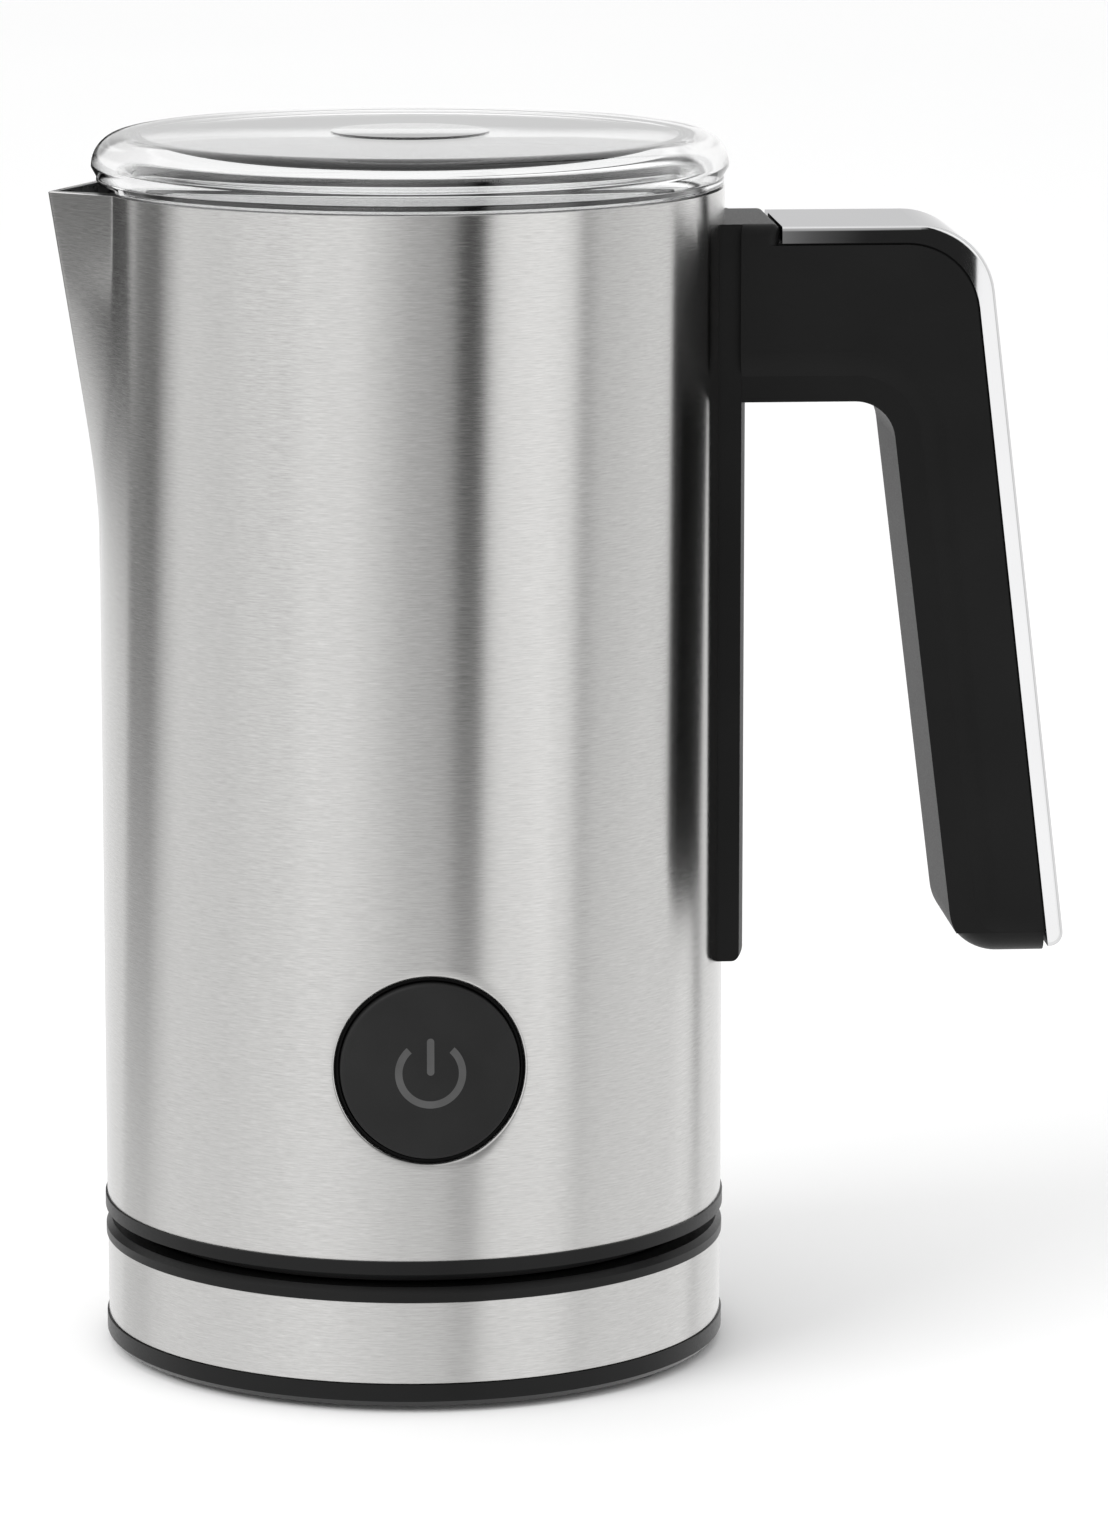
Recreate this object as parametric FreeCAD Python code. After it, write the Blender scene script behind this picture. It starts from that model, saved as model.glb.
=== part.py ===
import FreeCAD, Part
import math
import os

# Milk frother: a cordless steel jug with a magnetic whisk drive on a power base.
# Millimetres. Z is up and zero is the surface that the feet stand on. The handle
# points along +X, the spout along -X and the button faces -Y. Everything is drawn
# about the jug's own axis and then moved so that the origin is the footprint's middle.

# Overall jug
jug_radius = 50.0
shell_wall = 0.8
shell_height = 163.7
jug_ring_height = 2.1
jug_ring_stand_out = 0.3

# Base, from the table upwards
foot_height = 1.0
foot_radius = 5.5
foot_pocket_depth = 0.6
foot_inset = 7.9
foot_angles = (-41.0, 79.0, 199.0)
base_inset = 0.1
base_ring_stand_out = 0.3
base_skirt_height = 3.6
base_floor = 2.0
base_band_height = 13.3
base_cap_height = 2.3
base_wall = 0.8
base_lip_wall = 1.8
base_lip_height = 4.0
base_edge_chamfer = 0.9
seat_groove = 2.2
seat_inset = 4.0
seat_width = 4.0

# Round power connector
post_radius = 19.0
post_height = 12.8
post_flange_width = 5.0
post_flange_thickness = 3.9
post_edge_chamfer = 1.0
post_hole_radius = 3.0
post_hole_floor = 1.0
groove_inset = 5.0
groove_width = 2.0
groove_depth = 8.0
contact_thickness = 0.6
contact_height = 6.0
contact_end_gap = 1.0
contact_embed = 1.0
column_gap = 1.0
pin_radius = 2.0
socket_wall = 4.3
socket_roof = 2.5
socket_hub_height = 4.0
socket_clearance = 0.4
turn_clearance = 0.3
rest_gap = 0.25
tab_width = 6.3
tab_thickness = 0.8
tab_length = 6.0

# Cord outlet in the back of the base
gland_bore_radius = 3.3
gland_neck_radius = 4.6
gland_flange_radius = 5.6
gland_flange_thickness = 1.2
gland_lip = 0.7
clamp_inset = 13.9
clamp_screw_spacing = 14.0
clamp_thickness = 2.5
clamp_width = 8.0
clamp_grip_radius = 3.1

# Screws
screw_radius = 1.5
screw_hole_clearance = 0.2
screw_head_radius = 2.8
screw_head_height = 1.4
screw_head_clearance = 0.3
screw_inset = 10.9
screw_blind_end = 1.0
small_head_height = 1.0
screw_angles = (90.0, 210.0, 330.0)
base_screw_angles = (30.0, 150.0, 270.0)
boss_wall = 2.2

# Spout
spout_reach = 7.6
spout_depth = 49.0
spout_blend = 4.0
spout_run_out = 14.0
spout_crease_angle = 18.5
spout_tip_radius = 2.0
spout_dip = 0.8
spout_sections = 10

# Coated pot inside the shell
pot_wall = 0.8
pot_gap = 2.0
pot_corner_radius = 6.0
pot_crease_angle = 20.5
seal_height = 3.0
liner_gap = 0.1

# Lid
lid_height = 8.6
lid_top = 2.4
lid_stand_out = 0.7
lid_widest_height = 3.0
lid_foot_height = 1.2
lid_foot_inset = 0.5
lid_skirt_inset = 2.4
lid_skirt_wall = 2.0
lid_skirt_depth = 9.7
lid_cavity_top = 3.2
lid_recess_radius = 12.7
lid_recess_depth = 0.6
lid_notch_angle = 20.0
lid_seal_height = 2.6
lid_seal_up = 3.4
lid_seal_clearance = 0.3
lid_seal_groove = 0.8

# Button
button_height = 30.5
button_radius = 14.0
button_gap = 0.75
button_proud = 0.5
button_edge = 0.6
button_wall = 1.8
button_travel = 1.5
button_flange = 1.2
button_flange_thickness = 1.5
button_guide_gap = 0.3
button_stem_radius = 3.0
button_frame_wall = 3.4
button_lip_depth = 4.8
button_frame_depth = 11.0
button_back_thickness = 1.6
button_stem_hole = 5.5
stem_depth = 9.0
frame_gap = 0.3
spring_radius = 7.0
spring_wire = 0.5
spring_turns = 4
symbol_radius = 5.55
symbol_stroke = 1.15
symbol_opening = 42.0
symbol_drop = 0.3
symbol_bar_top = 5.6
symbol_bar_low = -0.3
symbol_depth = 1.2

# Circuit board behind the button
board_depth = 18.0
board_thickness = 1.6
board_width = 34.0
board_low = 5.5
board_top_gap = 2.0
board_slot_clearance = 0.1
board_slot_depth = 1.3
holder_post = 5.0
holder_depth = 6.8
holder_bar_height = 2.5
holder_screw_x = 10.0
holder_screw_radius = 1.2
holder_screw_floor = 0.5
holder_collar_gap = 0.3
switch_size = 12.0
switch_depth = 5.0
switch_bore_clearance = 0.15
plunger_radius = 2.5
plunger_entry = 2.5
leg_radius = 2.0
leg_offset = 12.0
lamp_size = 3.0
relay_width = 15.0
relay_height = 12.0
relay_depth = 11.0
relay_post_gap = 1.0
relay_top_gap = 2.0
capacitor_x = 7.5
capacitor_radius = 4.0

# Drive and heater
bracket_drop = 11.2
bracket_thickness = 2.0
bracket_inset = 3.2
motor_gap = 4.1
motor_radius = 13.8
motor_length = 28.0
motor_edge = 1.0
motor_boss_radius = 3.5
motor_boss_height = 1.5
motor_tail_radius = 5.0
motor_tail_height = 2.0
motor_screw_circle = 8.0
shaft_radius = 1.0
shaft_clearance = 0.05
shaft_length = 21.0
shaft_in_motor = 14.0
rotor_radius = 20.5
rotor_thickness = 7.2
rotor_gap = 0.8
rotor_boss_radius = 4.0
rotor_boss_height = 1.7
magnet_radius = 4.0
magnet_height = 4.0
magnet_circle = 13.0
magnet_count = 4
heater_thickness = 4.0
heater_inset = 5.2
heater_inner_gap = 3.5
tube_inset = 4.0
tube_radius = 3.0
tube_open_angle = 20.0
terminal_radius = 1.5
terminal_length = 10.0
terminal_hole_radius = 4.0
sensor_gap = 1.5
sensor_radius = 4.0
sensor_length = 9.2
sensor_hole_clearance = 0.2
sensor_angle = 120.0
fuse_angle = 240.0
fuse_radius = 2.2
fuse_length = 12.0
standoff_radius = 3.0
standoff_gap = 3.5
standoff_angles = (0.0, 180.0, 270.0)
heater_lead_radius = 1.0
motor_lead_radius = 0.8
lead_bend = 3.0
lead_run = 9.0
lead_spacing = 6.0
motor_lead_drop = 3.6
motor_lead_gap = 1.0

# Whisk on its pin
spindle_radius = 2.0
spindle_height = 15.0
spindle_foot_radius = 5.0
spindle_foot_height = 0.8
spindle_end_gap = 1.0
bush_radius = 3.2
bush_low = 2.4
bush_length = 12.0
running_clearance = 0.05
whisk_floor_gap = 1.2
whisk_hub_radius = 6.0
whisk_hub_height = 19.0
whisk_disc_radius = 17.5
whisk_disc_thickness = 3.4
whisk_ring_radius = 27.0
whisk_core_radius = 1.6
whisk_coil_radius = 3.2
whisk_coil_wall = 0.8
whisk_spoke_width = 3.0
whisk_spoke_count = 3
whisk_magnet_radius = 3.0
whisk_magnet_height = 2.2
whisk_magnet_cover = 0.4

# Handle
handle_half_width = 13.9
plate_half_width = 13.0
plate_thickness = 3.4
plate_length = 118.95
plate_drop = 5.45
plate_corner = 1.2
block_reach = 7.8
block_corner = 1.2
block_side_corner = 2.0
arm_drop = 5.8
arm_depth = 28.0
grip_length = 118.65
grip_corner_x = 40.8
grip_outer_slope = 0.1177
grip_inner_x = 25.7
grip_inner_slope = 0.123
grip_outer_corner = 12.0
grip_inner_corner = 6.5
grip_foot_corner = 8.3
grip_rounding = 8.0
grip_wall = 3.4
arm_root = 15.0
trim_thickness = 2.65
trim_gap = 0.35
trim_groove_depth = 1.0
trim_short = 1.85
trim_start_gap = 0.3
trim_end_corner = 2.2
trim_inner_corner = 11.8
trim_rounding = 0.7
handle_screw_drops = (15.2, 27.2)
plate_screw_rise = 11.2
handle_screw_radius = 1.65
handle_screw_head = 3.5
handle_screw_head_height = 1.2
handle_screw_length = 12.0
plate_screw_length = 2.6
shell_hole_clearance = 0.55

# Cutters run past what they cut by this much
overcut = 1.0
tiny = 0.001

# Heights worked out from the stack
base_low = foot_height
band_low = base_low + base_skirt_height
band_high = band_low + base_band_height
base_top = band_high + base_cap_height
ring_low = base_top + seat_groove
shell_low = ring_low + jug_ring_height
rim = shell_low + shell_height
button_z = shell_low + button_height
post_low = band_high - post_flange_thickness
post_top = base_top + post_height
socket_top = post_top + socket_clearance + socket_roof + socket_hub_height
motor_low = socket_top + motor_gap + motor_tail_height
bracket_low = motor_low + motor_length
bracket_top = bracket_low + bracket_thickness
pot_underside = bracket_top + bracket_drop
pot_floor = pot_underside + pot_wall
heater_low = pot_underside - heater_thickness
gland_z = band_low + base_band_height / 2
lid_seat = rim + rest_gap
lid_high = rim + lid_height

# Radii worked out from the walls
shell_inner_radius = jug_radius - shell_wall
pot_radius = shell_inner_radius - pot_gap
pot_inner_radius = pot_radius - pot_wall
plate_radius = jug_radius + plate_thickness
base_radius = jug_radius - base_inset
base_inner_radius = base_radius - base_wall
foot_circle_radius = base_radius - foot_inset
screw_circle_radius = base_radius - screw_inset
clamp_radius = base_radius - clamp_inset
seat_outer_radius = jug_radius - seat_inset
seat_inner_radius = seat_outer_radius - seat_width
post_flange_radius = post_radius + post_flange_width
groove_outer_radius = post_radius - groove_inset
groove_inner_radius = groove_outer_radius - groove_width
collar_inner_radius = post_radius + socket_clearance + socket_wall + turn_clearance
collar_outer_radius = collar_inner_radius + base_floor
bracket_radius = pot_radius - bracket_inset
heater_outer_radius = pot_radius - heater_inset
heater_inner_radius = rotor_radius + heater_inner_gap
tube_circle = heater_outer_radius - tube_inset
sensor_circle = heater_inner_radius + sensor_radius + sensor_gap
standoff_circle = heater_inner_radius + standoff_radius + standoff_gap
lid_foot_inner_radius = pot_inner_radius + lid_foot_inset
lid_skirt_radius = pot_inner_radius - lid_skirt_inset
button_frame_radius = button_radius + button_flange + button_frame_wall

# Distances of the button's parts from the jug's axis, towards the front
button_frame_lip = jug_radius - button_lip_depth
button_frame_back = jug_radius - button_frame_depth
stem_end = jug_radius - stem_depth
board_front = jug_radius - board_depth
plunger_length = stem_end - board_front - switch_depth + plunger_entry

# How far the whole object reaches each way from the jug's axis
handle_reach = jug_radius + grip_corner_x + grip_outer_slope * (grip_length - trim_short)
spout_end = jug_radius + spout_reach
axis_x = (spout_end - handle_reach) / 2

UP = FreeCAD.Vector(0, 0, 1)
shapes = {}


def vec(x, y, z):
    return FreeCAD.Vector(x, y, z)


def polar(radius, angle):
    """Point on a circle about the jug's axis, at an angle in degrees from +X."""
    return radius * math.cos(math.radians(angle)), radius * math.sin(math.radians(angle))


def disc(radius, low, high, x=0.0, y=0.0):
    return Part.makeCylinder(radius, high - low, vec(x, y, low))


def ring(outer, inner, low, high, x=0.0, y=0.0):
    return disc(outer, low, high, x, y).cut(disc(inner, low - overcut, high + overcut, x, y))


def rod_y(radius, start, end, x, z):
    """Cylinder along Y between two values of Y."""
    return Part.makeCylinder(radius, end - start, vec(x, start, z), vec(0, 1, 0))


def rod_x(radius, start, end, y, z):
    """Cylinder along X between two values of X."""
    return Part.makeCylinder(radius, end - start, vec(start, y, z), vec(1, 0, 0))


def block(x0, x1, y0, y1, z0, z1):
    return Part.makeBox(x1 - x0, y1 - y0, z1 - z0, vec(x0, y0, z0))


def join(pieces):
    """Fuse touching pieces into one clean solid."""
    return pieces[0].multiFuse(pieces[1:]).removeSplitter()


def group(pieces):
    """Keep separate solids together in one node."""
    return Part.makeCompound(pieces)


def save(name, shape):
    shapes[name] = shape
    placed = shape.copy()
    placed.translate(vec(axis_x, 0, 0))
    placed.exportStep("parts/" + name + ".step")


def rounded_wire(points, radii, closed=True):
    """Straight runs joined by tangent arcs. A radius of 0 leaves a corner sharp."""
    corners = []
    last = len(points) - 1
    for i, (point, radius) in enumerate(zip(points, radii)):
        if radius == 0 or (not closed and i in (0, last)):
            corners.append((point, None, point))
            continue
        back = (points[i - 1] - point).normalize()
        ahead = (points[(i + 1) % len(points)] - point).normalize()
        half = back.getAngle(ahead) / 2
        middle_way = (back + ahead).normalize()
        set_back = radius / math.tan(half)
        nearest = radius / math.sin(half) - radius
        corners.append((point + back * set_back, point + middle_way * nearest, point + ahead * set_back))
    edges = []
    for i, (entry, middle, leave) in enumerate(corners):
        if middle is not None:
            edges.append(Part.Arc(entry, middle, leave).toShape())
        if i < last or closed:
            following = corners[(i + 1) % len(points)][0]
            if leave.distanceToPoint(following) > tiny:
                edges.append(Part.LineSegment(leave, following).toShape())
    return Part.Wire(edges)


def prism(outline, half_width):
    """Extrude an outline in the XZ plane to both sides of it."""
    solid = Part.Face(outline).extrude(vec(0, 2 * half_width, 0))
    solid.translate(vec(0, -half_width, 0))
    return solid


def screw(radius, length, head_radius, head_height, x, y, seat, way):
    """Upright screw: its head rests on `seat` and its shank points `way` (1 up, -1 down)."""
    shank = disc(radius, min(seat, seat + way * length), max(seat, seat + way * length), x, y)
    head = disc(head_radius, min(seat, seat - way * head_height), max(seat, seat - way * head_height), x, y)
    return join([shank, head])


def lead(points, radius):
    """Insulated wire along straight runs with round bends."""
    path = rounded_wire(points, [lead_bend] * len(points), closed=False)
    start = Part.Wire(Part.makeCircle(radius, points[0], points[1] - points[0]))
    return path.makePipeShell([start], True, False)


# --- Spout form, shared by the shell, the pot and the seal between them ---

def spout_stand_out(depth):
    """How far the spout's tip stands out past the wall at a depth below the rim."""
    slope = spout_reach / spout_depth
    return slope * spout_blend * math.log(1 + math.exp((spout_depth - depth) / spout_blend))


def spouted_section(radius, reach, tip_radius, crease_angle, z):
    """Round wall with two flat flanks and a rounded tip towards -X."""
    tip_centre = reach - tip_radius
    angle = math.acos((radius - tip_radius) / tip_centre)
    tip_angle = angle
    if math.degrees(angle) > crease_angle:
        angle = math.radians(crease_angle)
        across = radius * math.sin(angle)
        along = radius * math.cos(angle) - tip_centre
        tip_angle = math.atan2(across, along) - math.acos(tip_radius / math.hypot(across, along))
    wall_x, wall_y = -radius * math.cos(angle), radius * math.sin(angle)
    tip_x = -tip_centre - tip_radius * math.cos(tip_angle)
    tip_y = tip_radius * math.sin(tip_angle)
    half = (math.pi / 2 + angle) / 2
    side_x, side_y = -radius * math.cos(half), radius * math.sin(half)
    corners = [vec(0, radius, z), vec(wall_x, wall_y, z), vec(tip_x, tip_y, z)]
    mirrored = [vec(p.x, -p.y, z) for p in reversed(corners)]
    edges = [
        Part.Arc(corners[0], vec(side_x, side_y, z), corners[1]).toShape(),
        Part.LineSegment(corners[1], corners[2]).toShape(),
        Part.Arc(corners[2], vec(-reach, 0, z), mirrored[0]).toShape(),
        Part.LineSegment(mirrored[0], mirrored[1]).toShape(),
        Part.Arc(mirrored[1], vec(side_x, -side_y, z), mirrored[2]).toShape(),
        Part.Arc(mirrored[2], vec(radius, 0, z), corners[0]).toShape(),
    ]
    return Part.Wire(edges)


def spouted_solid(radius, wall_in, tip_radius, crease_angle, low, high, corner=0.0):
    """Filled vessel of this radius from `low` to `high`, with the spout at its top.

    The tip lies `wall_in` inside the outer shell's tip at the rim, and comes back to the
    wall at the same depth as the shell's own spout."""
    run_out = spout_depth + spout_run_out
    share = (spout_end - wall_in - radius) / spout_stand_out(0)
    sections = []
    for i in range(spout_sections):
        depth = run_out * i / (spout_sections - 1)
        reach = radius + share * spout_stand_out(depth)
        sections.append(spouted_section(radius, reach, tip_radius, crease_angle, rim - depth))
    top = Part.makeLoft(sections, True, True)
    if high > rim:
        cap = Part.Face(sections[0]).extrude(vec(0, 0, high - rim))
        top = top.fuse(cap)
    body = disc(radius, low, rim - run_out)
    if corner:
        foot = [e for e in body.Edges if e.BoundBox.ZMax < low + tiny]
        body = body.makeFillet(corner, foot)
    return body.fuse(top)


def dip_cutter():
    """Takes the rim of the spout down a little towards its tip."""
    start = -jug_radius * math.cos(math.radians(spout_crease_angle))
    end = -spout_end - overcut
    fall = spout_dip * (start - end) / (start + spout_end)
    above = rim + overcut
    outline = [vec(start, 0, rim), vec(end, 0, rim - fall), vec(end, 0, above), vec(start, 0, above)]
    return prism(Part.makePolygon(outline + outline[:1]), jug_radius)


# --- Base ---

def base_bosses(radius, low, high):
    return [disc(radius, low, high, *polar(screw_circle_radius, a)) for a in base_screw_angles]


def make_base():
    boss_radius = screw_radius + screw_hole_clearance + boss_wall
    hole_radius = screw_radius + screw_hole_clearance
    head_hole = screw_head_radius + screw_head_clearance
    floor_top = base_low + base_floor
    boss_split = band_low + base_band_height / 2
    lip_radius = base_inner_radius
    gland_hole = rod_y(gland_neck_radius, 0, base_radius + overcut, 0, gland_z)

    band = ring(base_radius, base_inner_radius, band_low, band_high).cut(gland_hole)
    save("base_band", band)

    # Bottom cover: dished plate with a lip inside the band, bosses and the clamp's saddle
    outer = disc(base_radius + base_ring_stand_out, base_low, band_low)
    bottom_edges = [e for e in outer.Edges if e.BoundBox.ZMax < base_low + tiny]
    outer = outer.makeChamfer(base_edge_chamfer, bottom_edges)
    outer = outer.cut(disc(lip_radius - base_lip_wall, floor_top, band_low + overcut))
    lip = ring(lip_radius, lip_radius - base_lip_wall, band_low, band_low + base_lip_height)
    column = ring(post_flange_radius - boss_wall, post_radius + column_gap, floor_top, post_low)
    saddle_top = gland_z - clamp_grip_radius
    half_span = clamp_screw_spacing / 2 + clamp_width / 2
    saddle = block(-half_span, half_span, clamp_radius - clamp_width / 2, clamp_radius + clamp_width / 2,
                   floor_top, saddle_top)
    cover = join([outer, lip, column, saddle] + base_bosses(boss_radius, floor_top, boss_split))
    cutters = base_bosses(hole_radius, base_low - overcut, boss_split + overcut)
    cutters += base_bosses(head_hole, base_low - overcut, base_low + screw_head_height)
    for angle in foot_angles:
        x, y = polar(foot_circle_radius, angle)
        cutters.append(disc(foot_radius, base_low - overcut, base_low + foot_pocket_depth, x, y))
    for side in (-1, 1):
        x = side * clamp_screw_spacing / 2
        cutters.append(disc(holder_screw_radius, floor_top, saddle_top + overcut, x, clamp_radius))
    cover = cover.cut(group(cutters)).cut(rod_y(gland_flange_radius, clamp_radius, base_radius, 0, gland_z))
    save("base_bottom_cover", cover)

    # Top cover: plate round the connector post, with a lip and the upper half of each boss
    plate = disc(base_radius + base_ring_stand_out, band_high, base_top)
    top_edges = [e for e in plate.Edges if e.BoundBox.ZMin > base_top - tiny]
    plate = plate.makeChamfer(base_edge_chamfer, top_edges)
    lip = ring(lip_radius, lip_radius - base_lip_wall, band_high - base_lip_height, band_high)
    cap = join([plate, lip] + base_bosses(boss_radius, boss_split, band_high))
    cap = cap.cut(disc(post_radius, band_high - overcut, base_top + overcut))
    cap = cap.cut(group(base_bosses(screw_radius, boss_split - overcut, band_high - screw_blind_end)))
    cap = cap.cut(rod_y(gland_flange_radius, clamp_radius, base_radius, 0, gland_z))
    save("base_top_cover", cap)

    feet = []
    for angle in foot_angles:
        x, y = polar(foot_circle_radius, angle)
        feet.append(disc(foot_radius, 0, foot_height + foot_pocket_depth, x, y))
    save("base_feet", group(feet))

    seat = base_low + screw_head_height
    length = band_high - screw_blind_end - seat
    head_height = screw_head_height - foot_pocket_depth
    screws = []
    for angle in base_screw_angles:
        x, y = polar(screw_circle_radius, angle)
        screws.append(screw(screw_radius, length, screw_head_radius, head_height, x, y, seat, 1))
    save("base_screws", group(screws))


def make_base_connector():
    post = disc(post_radius, post_low, post_top)
    post = post.makeChamfer(post_edge_chamfer, [e for e in post.Edges if e.BoundBox.ZMin > post_top - tiny])
    post = join([post, disc(post_flange_radius, post_low, band_high)])
    groove_floor = post_top - groove_depth
    post = post.cut(ring(groove_outer_radius, groove_inner_radius, groove_floor, post_top + overcut))
    hole_low = post_low + post_hole_floor
    post = post.cut(disc(post_hole_radius, hole_low, post_top + overcut))
    save("base_connector", post)

    # Brass: one sleeve round the groove's inner wall, one down the middle hole, and three tabs
    outer_sleeve = ring(groove_inner_radius + contact_thickness, groove_inner_radius, groove_floor,
                        groove_floor + contact_height)
    inner_sleeve = ring(post_hole_radius, post_hole_radius - contact_thickness, hole_low,
                        hole_low + contact_height * 2)
    pieces = [outer_sleeve, inner_sleeve]
    for angle in base_screw_angles:
        tab = block(-tab_thickness / 2, tab_thickness / 2, -tab_width / 2, tab_width / 2,
                    post_low - tab_length, post_low)
        tab.translate(vec(groove_inner_radius, 0, 0))
        tab.rotate(vec(0, 0, 0), UP, angle)
        pieces.append(tab)
    save("base_contacts", group(pieces))


def make_cord_outlet():
    # Rubber gland held in the band, with a flange on each side of the steel
    outer_end = base_radius + gland_lip
    inner_face = base_inner_radius - gland_flange_thickness
    neck = rod_y(gland_neck_radius, inner_face, outer_end, 0, gland_z)
    flange_start = inner_face - base_lip_wall
    inside = rod_y(gland_flange_radius, flange_start, base_inner_radius - gland_lip, 0, gland_z)
    gland = join([neck, inside])
    gland = gland.cut(rod_y(gland_bore_radius, 0, outer_end + overcut, 0, gland_z))
    save("cord_gland", gland)

    half_span = clamp_screw_spacing / 2 + clamp_width / 2
    low = gland_z - clamp_grip_radius
    bar = block(-half_span, half_span, clamp_radius - clamp_width / 2, clamp_radius + clamp_width / 2,
                low, low + clamp_grip_radius * 2)
    bar = bar.cut(rod_y(clamp_grip_radius, 0, base_radius, 0, gland_z - clamp_thickness / 2))
    bar_top = low + clamp_grip_radius * 2
    screws = []
    for side in (-1, 1):
        x = side * clamp_screw_spacing / 2
        bar = bar.cut(disc(holder_screw_radius, low - overcut, bar_top + overcut, x, clamp_radius))
        length = bar_top - base_low - base_floor - screw_blind_end
        screws.append(screw(holder_screw_radius, length, screw_head_radius, small_head_height,
                            x, clamp_radius, bar_top, -1))
    save("cord_clamp", bar)
    save("cord_clamp_screws", group(screws))


# --- Jug: socket and bottom ---

def make_socket():
    outer = post_radius + socket_clearance + socket_wall
    low = base_top + rest_gap
    roof = post_top + socket_clearance
    body = disc(outer, low, roof + socket_roof)
    hub = disc(outer / 2, roof + socket_roof, socket_top)
    body = join([body, hub])
    body = body.cut(disc(post_radius + socket_clearance, low - overcut, roof))
    blade_middle = (groove_inner_radius + contact_thickness + groove_outer_radius) / 2
    blade_outer = blade_middle + contact_thickness / 2
    blade_low = post_top - groove_depth + contact_end_gap
    pin_low = post_low + post_hole_floor + contact_end_gap
    contact_top = roof + contact_embed
    body = body.cut(ring(blade_outer, blade_outer - contact_thickness, roof - overcut, contact_top))
    body = body.cut(disc(pin_radius, roof - overcut, contact_top))
    save("jug_socket", body)
    blade = ring(blade_outer, blade_outer - contact_thickness, blade_low, contact_top)
    pin = disc(pin_radius, pin_low, contact_top)
    save("socket_contacts", group([blade, pin]))


def pillars(radius, low, high):
    return [disc(radius, low, high, *polar(screw_circle_radius, a)) for a in screw_angles]


def make_bottom_cover():
    hole_radius = screw_radius + screw_hole_clearance
    plate = ring(jug_radius + jug_ring_stand_out, collar_inner_radius, ring_low, shell_low)
    seat = ring(seat_outer_radius, seat_inner_radius, base_top + rest_gap, ring_low)
    lip_top = shell_low + base_lip_height
    lip = ring(shell_inner_radius, shell_inner_radius - base_lip_wall, shell_low, lip_top)
    collar = ring(collar_outer_radius, collar_inner_radius, shell_low, lip_top)
    posts = pillars(hole_radius + boss_wall, shell_low, bracket_low)
    cover = join([plate, seat, lip, collar] + posts)
    cutters = pillars(hole_radius, base_top, bracket_low + overcut)
    cutters += pillars(screw_head_radius + screw_head_clearance, base_top, ring_low + screw_head_height)
    y = -(board_front - board_thickness / 2)
    for side in (-1, 1):
        x = side * holder_screw_x
        cutters.append(disc(holder_screw_radius, ring_low + holder_screw_floor, shell_low + overcut, x, y))
    save("jug_bottom_cover", cover.cut(group(cutters)))

    seat_z = ring_low + screw_head_height
    length = bracket_top - seat_z
    head_height = screw_head_height - rest_gap
    screws = []
    for angle in screw_angles:
        x, y = polar(screw_circle_radius, angle)
        screws.append(screw(screw_radius, length, screw_head_radius, head_height, x, y, seat_z, 1))
    save("body_screws", group(screws))


# --- Jug: shell, pot and what closes the gap between them ---

def shell_inside(high):
    return spouted_solid(shell_inner_radius, shell_wall, spout_tip_radius - shell_wall, spout_crease_angle,
                         shell_low - overcut, high)


def pot_outside(high):
    wall_in = shell_wall + liner_gap
    return spouted_solid(pot_radius, wall_in, spout_tip_radius - shell_wall, pot_crease_angle,
                         pot_underside, high, pot_corner_radius + pot_wall)


def make_shell():
    outer = spouted_solid(jug_radius, 0.0, spout_tip_radius, spout_crease_angle, shell_low, rim)
    shell = outer.cut(shell_inside(rim + overcut)).cut(dip_cutter())
    button_hole = rod_y(button_radius + button_gap, -jug_radius - overcut, 0, 0, button_z)
    shell = shell.cut(button_hole)
    hole_radius = handle_screw_radius + shell_hole_clearance
    for z in handle_screw_heights():
        shell = shell.cut(rod_x(hole_radius, 0, jug_radius + overcut, 0, z))
    save("outer_shell", shell)


def make_pot():
    outside = pot_outside(rim)
    inside = spouted_solid(pot_inner_radius, shell_wall + liner_gap + pot_wall, pot_wall, pot_crease_angle,
                           pot_floor, rim + overcut, pot_corner_radius)
    gap_fill = shell_inside(rim).cut(pot_outside(rim + overcut))
    reach = spout_end + overcut
    flange = gap_fill.common(block(-reach, reach, -reach, reach, rim - pot_wall, rim))
    pot = outside.cut(inside).fuse(flange).cut(dip_cutter())
    save("inner_pot", pot)
    seal_slab = block(-reach, reach, -reach, reach, rim - pot_wall - spout_dip - seal_height,
                      rim - pot_wall - spout_dip)
    save("rim_seal", gap_fill.common(seal_slab))


def make_spindle():
    foot = disc(spindle_foot_radius, pot_floor, pot_floor + spindle_foot_height)
    pin = disc(spindle_radius, pot_floor, pot_floor + spindle_height)
    top = [e for e in pin.Edges if e.BoundBox.ZMin > pot_floor + spindle_height - tiny]
    pin = pin.makeFillet(spindle_radius / 2, top)
    save("whisk_spindle", join([foot, pin]))


# --- Heater and drive ---

def terminal_places():
    return [polar(tube_circle, side * tube_open_angle) for side in (-1, 1)]


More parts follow.
